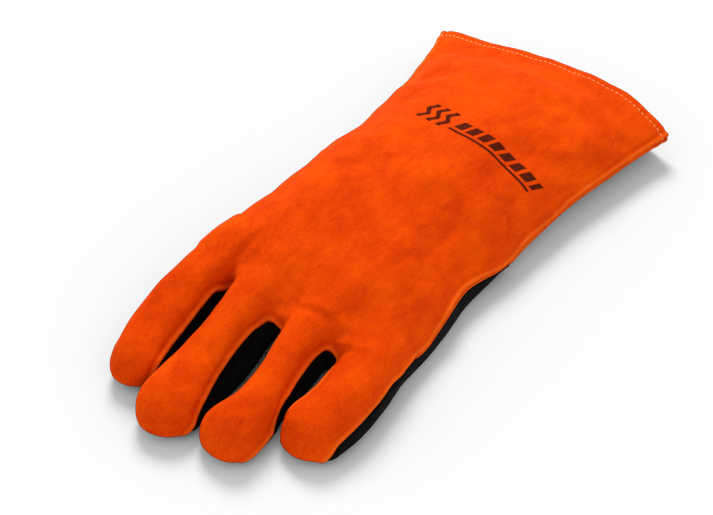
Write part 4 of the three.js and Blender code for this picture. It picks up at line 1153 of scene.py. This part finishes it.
# ------------------------------------------------------------------ materials
class Shader:
    """A material with a Principled surface. Textures read the rest points, in plan mm."""

    def __init__(self, name):
        self.material = bpy.data.materials.new(name)
        self.material.use_nodes = True
        self.tree = self.material.node_tree
        self.tree.nodes.clear()
        output = self.node("ShaderNodeOutputMaterial")
        self.surface = self.node("ShaderNodeBsdfPrincipled")
        self.set(output.inputs["Surface"], self.surface.outputs[0])

    def node(self, kind, **settings):
        node = self.tree.nodes.new(kind)
        for name, value in settings.items():
            setattr(node, name, value)
        return node

    def set(self, socket, value):
        """Links a socket to an output, or gives it a plain value."""
        if isinstance(value, bpy.types.NodeSocket):
            self.tree.links.new(value, socket)
        else:
            socket.default_value = value

    def rest_point(self):
        return self.node("ShaderNodeAttribute", attribute_name="p0").outputs["Vector"]

    def seam_distance(self):
        return self.node("ShaderNodeAttribute", attribute_name="seam").outputs["Fac"]

    def mapped(self, source, scale, turn=0.0):
        node = self.node("ShaderNodeMapping")
        node.inputs["Scale"].default_value = scale
        node.inputs["Rotation"].default_value = (0, 0, turn)
        self.set(node.inputs["Vector"], source)
        return node.outputs[0]

    def noise(self, source, scale, detail, rough, warp=0.0):
        node = self.node("ShaderNodeTexNoise")
        node.inputs["Scale"].default_value = scale
        node.inputs["Detail"].default_value = detail
        node.inputs["Roughness"].default_value = rough
        node.inputs["Distortion"].default_value = warp
        self.set(node.inputs["Vector"], source)
        return node.outputs["Fac"]

    def math(self, operation, a, b=None, clamp=False):
        node = self.node("ShaderNodeMath", operation=operation, use_clamp=clamp)
        self.set(node.inputs[0], a)
        if b is not None:
            self.set(node.inputs[1], b)
        return node.outputs[0]

    def weighted(self, *terms):
        """Sum of (value, weight) pairs."""
        total = None
        for value, weight in terms:
            part = self.math("MULTIPLY", value, weight)
            total = part if total is None else self.math("ADD", total, part)
        return total

    def over(self, value, threshold, gain):
        """How far a value is over a threshold, times a gain."""
        return self.math("MULTIPLY", self.math("SUBTRACT", value, threshold, clamp=True), gain)

    def bell(self, value, width, centre=None):
        if centre is not None:
            value = self.math("SUBTRACT", value, centre)
        square = self.math("POWER", self.math("DIVIDE", value, width), 2)
        return self.math("POWER", 2.718, self.math("MULTIPLY", square, -1.0))

    def ramp(self, source, stops):
        node = self.node("ShaderNodeValToRGB")
        elements = node.color_ramp.elements
        while len(elements) < len(stops):
            elements.new(0.5)
        for element, (position, colour) in zip(elements, stops):
            element.position = position
            element.color = (*colour, 1)
        self.set(node.inputs[0], source)
        return node.outputs[0]

    def mix(self, factor, base, other):
        node = self.node("ShaderNodeMix", data_type="RGBA", blend_type="MIX")
        for i, value in ((0, factor), (6, base), (7, other)):
            self.set(node.inputs[i], (*value, 1) if isinstance(value, tuple) else value)
        return node.outputs[2]

    def window(self, value, low, high, soft=0.22):
        """1 between low and high, with soft ends."""
        ends = []
        for edge in (low, high):
            node = self.node("ShaderNodeMapRange", interpolation_type="SMOOTHSTEP")
            self.set(node.inputs[0], value)
            node.inputs[1].default_value = edge - soft
            node.inputs[2].default_value = edge + soft
            ends.append(node.outputs[0])
        return self.math("SUBTRACT", *ends, clamp=True)

    def bump(self, height, strength, depth, under=None):
        node = self.node("ShaderNodeBump")
        node.inputs["Strength"].default_value = strength
        node.inputs["Distance"].default_value = depth
        self.set(node.inputs["Height"], height)
        if under is not None:
            self.set(node.inputs["Normal"], under)
        return node.outputs[0]

    def finish(self, **inputs):
        for name, value in inputs.items():
            self.set(self.surface.inputs[name.replace("_", " ")], value)
        return self.material


MARK_X, MARK_Y, MARK_TURN = -2.8, 81.6, math.radians(-3.8)      # printed mark on the cuff
MARK_FLOOR = 12.0             # nothing is printed below this height


def printed_ink(m, rest):
    """Three wavy lines, then a row of slanted blocks with a bar beside it; partly worn."""
    split = m.node("ShaderNodeSeparateXYZ")
    m.set(split.inputs[0], rest)
    x, y, z = split.outputs
    cos, sin = math.cos(MARK_TURN), math.sin(MARK_TURN)
    dx, dy = m.math("SUBTRACT", x, MARK_X), m.math("SUBTRACT", y, MARK_Y)
    u = m.math("ADD", m.math("MULTIPLY", dx, cos), m.math("MULTIPLY", dy, sin))
    v = m.math("SUBTRACT", m.math("MULTIPLY", dy, cos), m.math("MULTIPLY", dx, sin))

    wave_rate, wave_size, half_pitch, lines_end = 0.62, 1.3, 3.3, 9.9
    wave = m.math("SINE", m.math("MULTIPLY", v, wave_rate))
    wavy = m.math("ADD", u, m.math("MULTIPLY", wave, wave_size))
    repeat = m.math("PINGPONG", m.math("ADD", wavy, half_pitch), half_pitch)
    lines = m.math("MULTIPLY", m.window(repeat, low=1.75, high=9.0, soft=0.25),
                   m.window(wavy, low=-lines_end, high=lines_end, soft=0.2))
    lines = m.math("MULTIPLY", lines, m.window(v, low=-8.5, high=8.5))

    row_start, slant, block_half_pitch = 13.0, 0.30, 3.75
    row = dict(low=0.6, high=56.5, soft=0.2)
    slanted = m.math("SUBTRACT", m.math("SUBTRACT", u, row_start), m.math("MULTIPLY", v, slant))
    cell = m.math("PINGPONG", slanted, block_half_pitch)
    blocks = m.math("MULTIPLY", m.window(cell, low=1.1, high=9.0, soft=0.2),
                    m.window(slanted, **row))
    blocks = m.math("MULTIPLY", blocks, m.window(v, low=-3.4, high=4.6))
    bar = m.math("MULTIPLY", m.window(slanted, **row), m.window(v, low=-7.2, high=-5.4))

    ink = m.math("MAXIMUM", lines, m.math("MAXIMUM", blocks, bar))
    wear = m.over(m.noise(rest, scale=0.9, detail=4, rough=0.7), threshold=0.56, gain=2.2)
    ink = m.math("MULTIPLY", ink, m.math("SUBTRACT", 1.0, wear, clamp=True))
    return m.math("MULTIPLY", ink, m.math("GREATER_THAN", z, MARK_FLOOR))


def orange_suede(name, printed=False):
    # dark is the painted shade of the seam groove; light colours the nap flecks and the painted highlight on
    # the roll
    dark, light, ink_colour = (0.16, 0.012, 0.002), (1.0, 0.22, 0.02), (0.030, 0.004, 0.002)
    m = Shader(name)
    rest, seam = m.rest_point(), m.seam_distance()
    blotch = m.noise(rest, scale=0.030, detail=4, rough=0.6, warp=0.4)
    cloud = m.noise(m.mapped(rest, (1.2, 0.7, 1)), scale=0.085, detail=4, rough=0.62, warp=0.6)
    streak = m.noise(m.mapped(rest, (1.0, 0.28, 1.0), turn=0.35),
                     scale=0.42, detail=4, rough=0.6, warp=0.3)
    nap = m.noise(rest, scale=1.25, detail=3, rough=0.7)
    fleck = m.noise(rest, scale=3.6, detail=2, rough=0.6)
    colour = m.ramp(
        m.weighted((blotch, 0.32), (cloud, 0.24), (streak, 0.14), (nap, 0.34)),
        stops=[(0.36, (0.44, 0.020, 0.0002)), (0.46, (0.60, 0.037, 0.0002)),
               (0.55, (0.71, 0.055, 0.0003)), (0.68, (0.84, 0.090, 0.0006))])
    colour = m.mix(m.over(fleck, threshold=0.55, gain=1.2), colour, light)
    # painted shade in the seam groove, and a painted highlight on the roll beside it
    painted_groove_shade = m.bell(seam, width=0.8)
    colour = m.mix(m.weighted((painted_groove_shade, 0.72)), colour, dark)
    # painted highlight along the rolled ridge beside the seam
    painted_ridge_highlight = m.bell(seam, width=1.0, centre=2.3)
    colour = m.mix(m.weighted((painted_ridge_highlight, 0.30)), colour, light)
    rough = m.math("ADD", 0.80, m.weighted((nap, 0.16)))
    if printed:
        ink = printed_ink(m, rest)
        colour = m.mix(m.weighted((ink, 0.94)), colour, ink_colour)
        rough = m.math("SUBTRACT", rough, m.weighted((ink, 0.12)))
    grain = m.noise(rest, scale=0.35, detail=4, rough=0.6)
    relief = m.bump(grain, strength=0.35, depth=0.0006)
    relief = m.bump(nap, strength=0.45, depth=0.00022, under=relief)
    relief = m.bump(fleck, strength=0.35, depth=0.00010, under=relief)
    return m.finish(Base_Color=colour, Roughness=rough, Normal=relief, Sheen_Weight=0.05,
                    Sheen_Roughness=0.5, Sheen_Tint=(1.0, 0.28, 0.02, 1),
                    Specular_IOR_Level=0.02)


def black_leather():
    m = Shader("black_split_leather")
    rest, seam = m.rest_point(), m.seam_distance()
    blotch = m.noise(rest, scale=0.07, detail=4, rough=0.6)
    nap = m.noise(rest, scale=1.2, detail=3, rough=0.7)
    colour = m.ramp(
        m.weighted((blotch, 0.6), (nap, 0.4)),
        stops=[(0.35, (0.0010, 0.0008, 0.0008)), (0.55, (0.0022, 0.0018, 0.0018)),
               (0.75, (0.0050, 0.0042, 0.0040))])
    # painted shade in the seam groove
    painted_groove_shade = m.bell(seam, width=0.8)
    colour = m.mix(m.weighted((painted_groove_shade, 0.7)), colour, (0.001, 0.001, 0.001))
    grain = m.noise(rest, scale=0.4, detail=4, rough=0.6)
    relief = m.bump(grain, strength=0.4, depth=0.0006)
    relief = m.bump(nap, strength=0.5, depth=0.00025, under=relief)
    rough = m.math("ADD", 0.72, m.weighted((nap, 0.2)))
    return m.finish(Base_Color=colour, Roughness=rough, Normal=relief, Sheen_Weight=0.0,
                    Specular_IOR_Level=0.06)


def cotton_fleece():
    m = Shader("cotton_fleece")
    rest = m.rest_point()
    tuft = m.noise(rest, scale=0.9, detail=4, rough=0.7, warp=0.8)
    fibre = m.noise(rest, scale=3.0, detail=3, rough=0.7)
    blotch = m.noise(rest, scale=0.06, detail=3, rough=0.6)
    colour = m.ramp(
        m.weighted((tuft, 0.6), (blotch, 0.4)),
        stops=[(0.35, (0.50, 0.42, 0.30)), (0.55, (0.68, 0.60, 0.46)),
               (0.72, (0.80, 0.73, 0.60))])
    relief = m.bump(tuft, strength=0.8, depth=0.0009)
    relief = m.bump(fibre, strength=0.6, depth=0.0003, under=relief)
    return m.finish(Base_Color=colour, Roughness=0.97, Normal=relief, Sheen_Weight=0.4,
                    Sheen_Roughness=0.6, Specular_IOR_Level=0.05)


def hem_thread():
    dark, light, deep = (0.88, 0.30, 0.055), (1.0, 0.46, 0.13), (0.95, 0.25, 0.03)
    m = Shader("hem_thread")
    rest = m.rest_point()
    wave = m.node("ShaderNodeTexWave", wave_type="BANDS", bands_direction="DIAGONAL")
    wave.inputs["Scale"].default_value = 1.1
    wave.inputs["Distortion"].default_value = 0.6
    m.set(wave.inputs["Vector"], rest)
    twist = wave.outputs["Fac"]
    colour = m.mix(twist, dark, light)
    patches = m.noise(rest, scale=0.12, detail=2, rough=0.5)
    colour = m.mix(m.weighted((patches, 0.5)), colour, deep)
    return m.finish(Base_Color=colour, Roughness=0.62, Sheen_Weight=0.15,
                    Normal=m.bump(twist, strength=0.6, depth=0.00012))


# each finish: material, slot
SUEDE = orange_suede("orange_suede"), "orange_suede"
PRINTED_SUEDE = orange_suede("orange_suede_printed", printed=True), "orange_suede"
BLACK = black_leather(), "black_leather"
COTTON = cotton_fleece(), "cotton_lining"
THREAD = hem_thread(), "hem_thread"


# ------------------------------------------------------------------ what each piece moves with
def dress(obj, finish, *replaced):
    material, slot = finish
    obj.data.materials.append(material)
    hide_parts(*replaced)


def part_point(x, y, z):
    return tuple(to_metres(np.array([x, y, z], float)))


def wrist_blend(obj):
    start, end = (part_point(12, y, 24) for y in WRIST_BEND)
    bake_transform(obj, "hand", "cuff", start=start, end=end)


def digit_blend(obj, name, segment, start, end):
    if segment == "base":
        bodies = "hand", name + "_proximal"
    else:
        bodies = name + "_proximal", name + "_distal"
    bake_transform(obj, *bodies, start=part_point(*start), end=part_point(*end))


BODY = {"base": "proximal", "tip": "distal"}

for obj, finish, replaced in (
    (panels["back"], PRINTED_SUEDE, ("hand_back_panel", "cuff_back_panel")),
    (panels["palm"], BLACK, ("hand_palm_panel", "fork_crotch_index_middle",
                             "fork_crotch_middle_ring", "fork_crotch_ring_little")),
    (panels["cuff_underside"], SUEDE, ("cuff_underside_panel",)),
    (lining["gauntlet_lining"], COTTON, ("hand_lining", "cuff_lining")),
):
    dress(obj, finish, *replaced)
    wrist_blend(obj)
dress(stitches, THREAD, "hem_stitching")
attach(stitches, "cuff")
for side, obj in welts.items():
    dress(obj, SUEDE, "hand_welt_" + side, "cuff_welt_" + side)
    wrist_blend(obj)

for name in ORDER:
    for segment, body in BODY.items():
        back, palm = panels[f"{name}_{segment}_back"], panels[f"{name}_{segment}_palm"]
        inside = lining[f"{name}_{segment}_lining"]
        forks = [f"{name}_{body}_fork_{side}_side"
                 for side, present in zip(("index", "little"), FINGER[name].forks) if present]
        dress(back, SUEDE, f"{name}_{body}_back")
        dress(palm, BLACK, f"{name}_{body}_palm", *forks)
        dress(inside, COTTON, f"{name}_{body}_lining")
        start, end = (FINGER[name].centre(s) for s in FINGER[name].bends[segment])
        end[2] = start[2]
        for obj in (back, palm, inside):
            digit_blend(obj, name, segment, start, end)

for segment, body in BODY.items():
    start, end = ((*along(THUMB, float(s))[:2], 10) for s in THUMB_BENDS[segment])
    for kind, finish in (("back", SUEDE), ("palm", BLACK), ("lining", COTTON)):
        obj = thumb[f"thumb_{segment}_{kind}"]
        dress(obj, finish, f"thumb_{body}_{kind}")
        digit_blend(obj, "thumb", segment, start, end)


# ------------------------------------------------------------------ stage, light and camera
def floor(reach=6, z=-0.0004):
    corners = [(-reach, -reach, z), (reach, -reach, z), (reach, reach, z), (-reach, reach, z)]
    obj = link("floor", new_mesh("floor", corners, [(0, 1, 2, 3)]))
    material = Shader("pale_floor").finish(
        Base_Color=(0.93, 0.93, 0.93, 1), Roughness=0.9, Specular_IOR_Level=0.0)
    obj.data.materials.append(material)
    obj.is_shadow_catcher = True


def backdrop(as_light=0.78, to_camera=1.0):
    """White world, a little dimmer as a light than to the camera."""
    world = bpy.data.worlds.new("studio")
    bpy.context.scene.world = world
    world.use_nodes = True
    tree = world.node_tree
    background = tree.nodes["Background"]
    background.inputs[0].default_value = (1, 1, 1, 1)
    path = tree.nodes.new("ShaderNodeLightPath")
    strength = tree.nodes.new("ShaderNodeMapRange")
    strength.inputs[3].default_value = as_light
    strength.inputs[4].default_value = to_camera
    tree.links.new(path.outputs["Is Camera Ray"], strength.inputs[0])
    tree.links.new(strength.outputs[0], background.inputs[1])


def area_light(name, location, target, size, power):
    light = bpy.data.lights.new(name, "AREA")
    light.shape, light.size, light.energy = "DISK", size, power
    obj = link(name, light)
    obj.location = location
    aim = Vector(target) - Vector(location)
    obj.rotation_euler = aim.to_track_quat("-Z", "Y").to_euler()


def camera(azimuth, elevation, distance):
    """Looks at the plan's zero point from the fingers' end, on the little-finger side."""
    data = bpy.data.cameras.new("camera")
    data.lens, data.sensor_width = 75, 36
    data.clip_start, data.clip_end = 0.01, 50
    obj = link("camera", data)
    turn, tilt = math.radians(azimuth), math.radians(elevation)
    away = Vector((math.sin(turn) * math.cos(tilt), -math.cos(turn) * math.cos(tilt),
                   math.sin(tilt)))
    obj.location = Vector(part_point(0, 0, 0)) + away * distance
    obj.rotation_mode = "QUATERNION"
    obj.rotation_quaternion = (-away).to_track_quat("-Z", "Y")
    bpy.context.scene.camera = obj


floor()
backdrop()
area_light("key", location=(-0.85, 0.95, 1.3), target=(-0.03, 0.05, 0), size=0.8, power=26)
area_light("fill", location=(0.9, -1.0, 1.1), target=(-0.03, 0.0, 0), size=1.2, power=2.0)
camera(azimuth=36, elevation=40, distance=0.8075)
bpy.context.scene.view_settings.view_transform = "Standard"
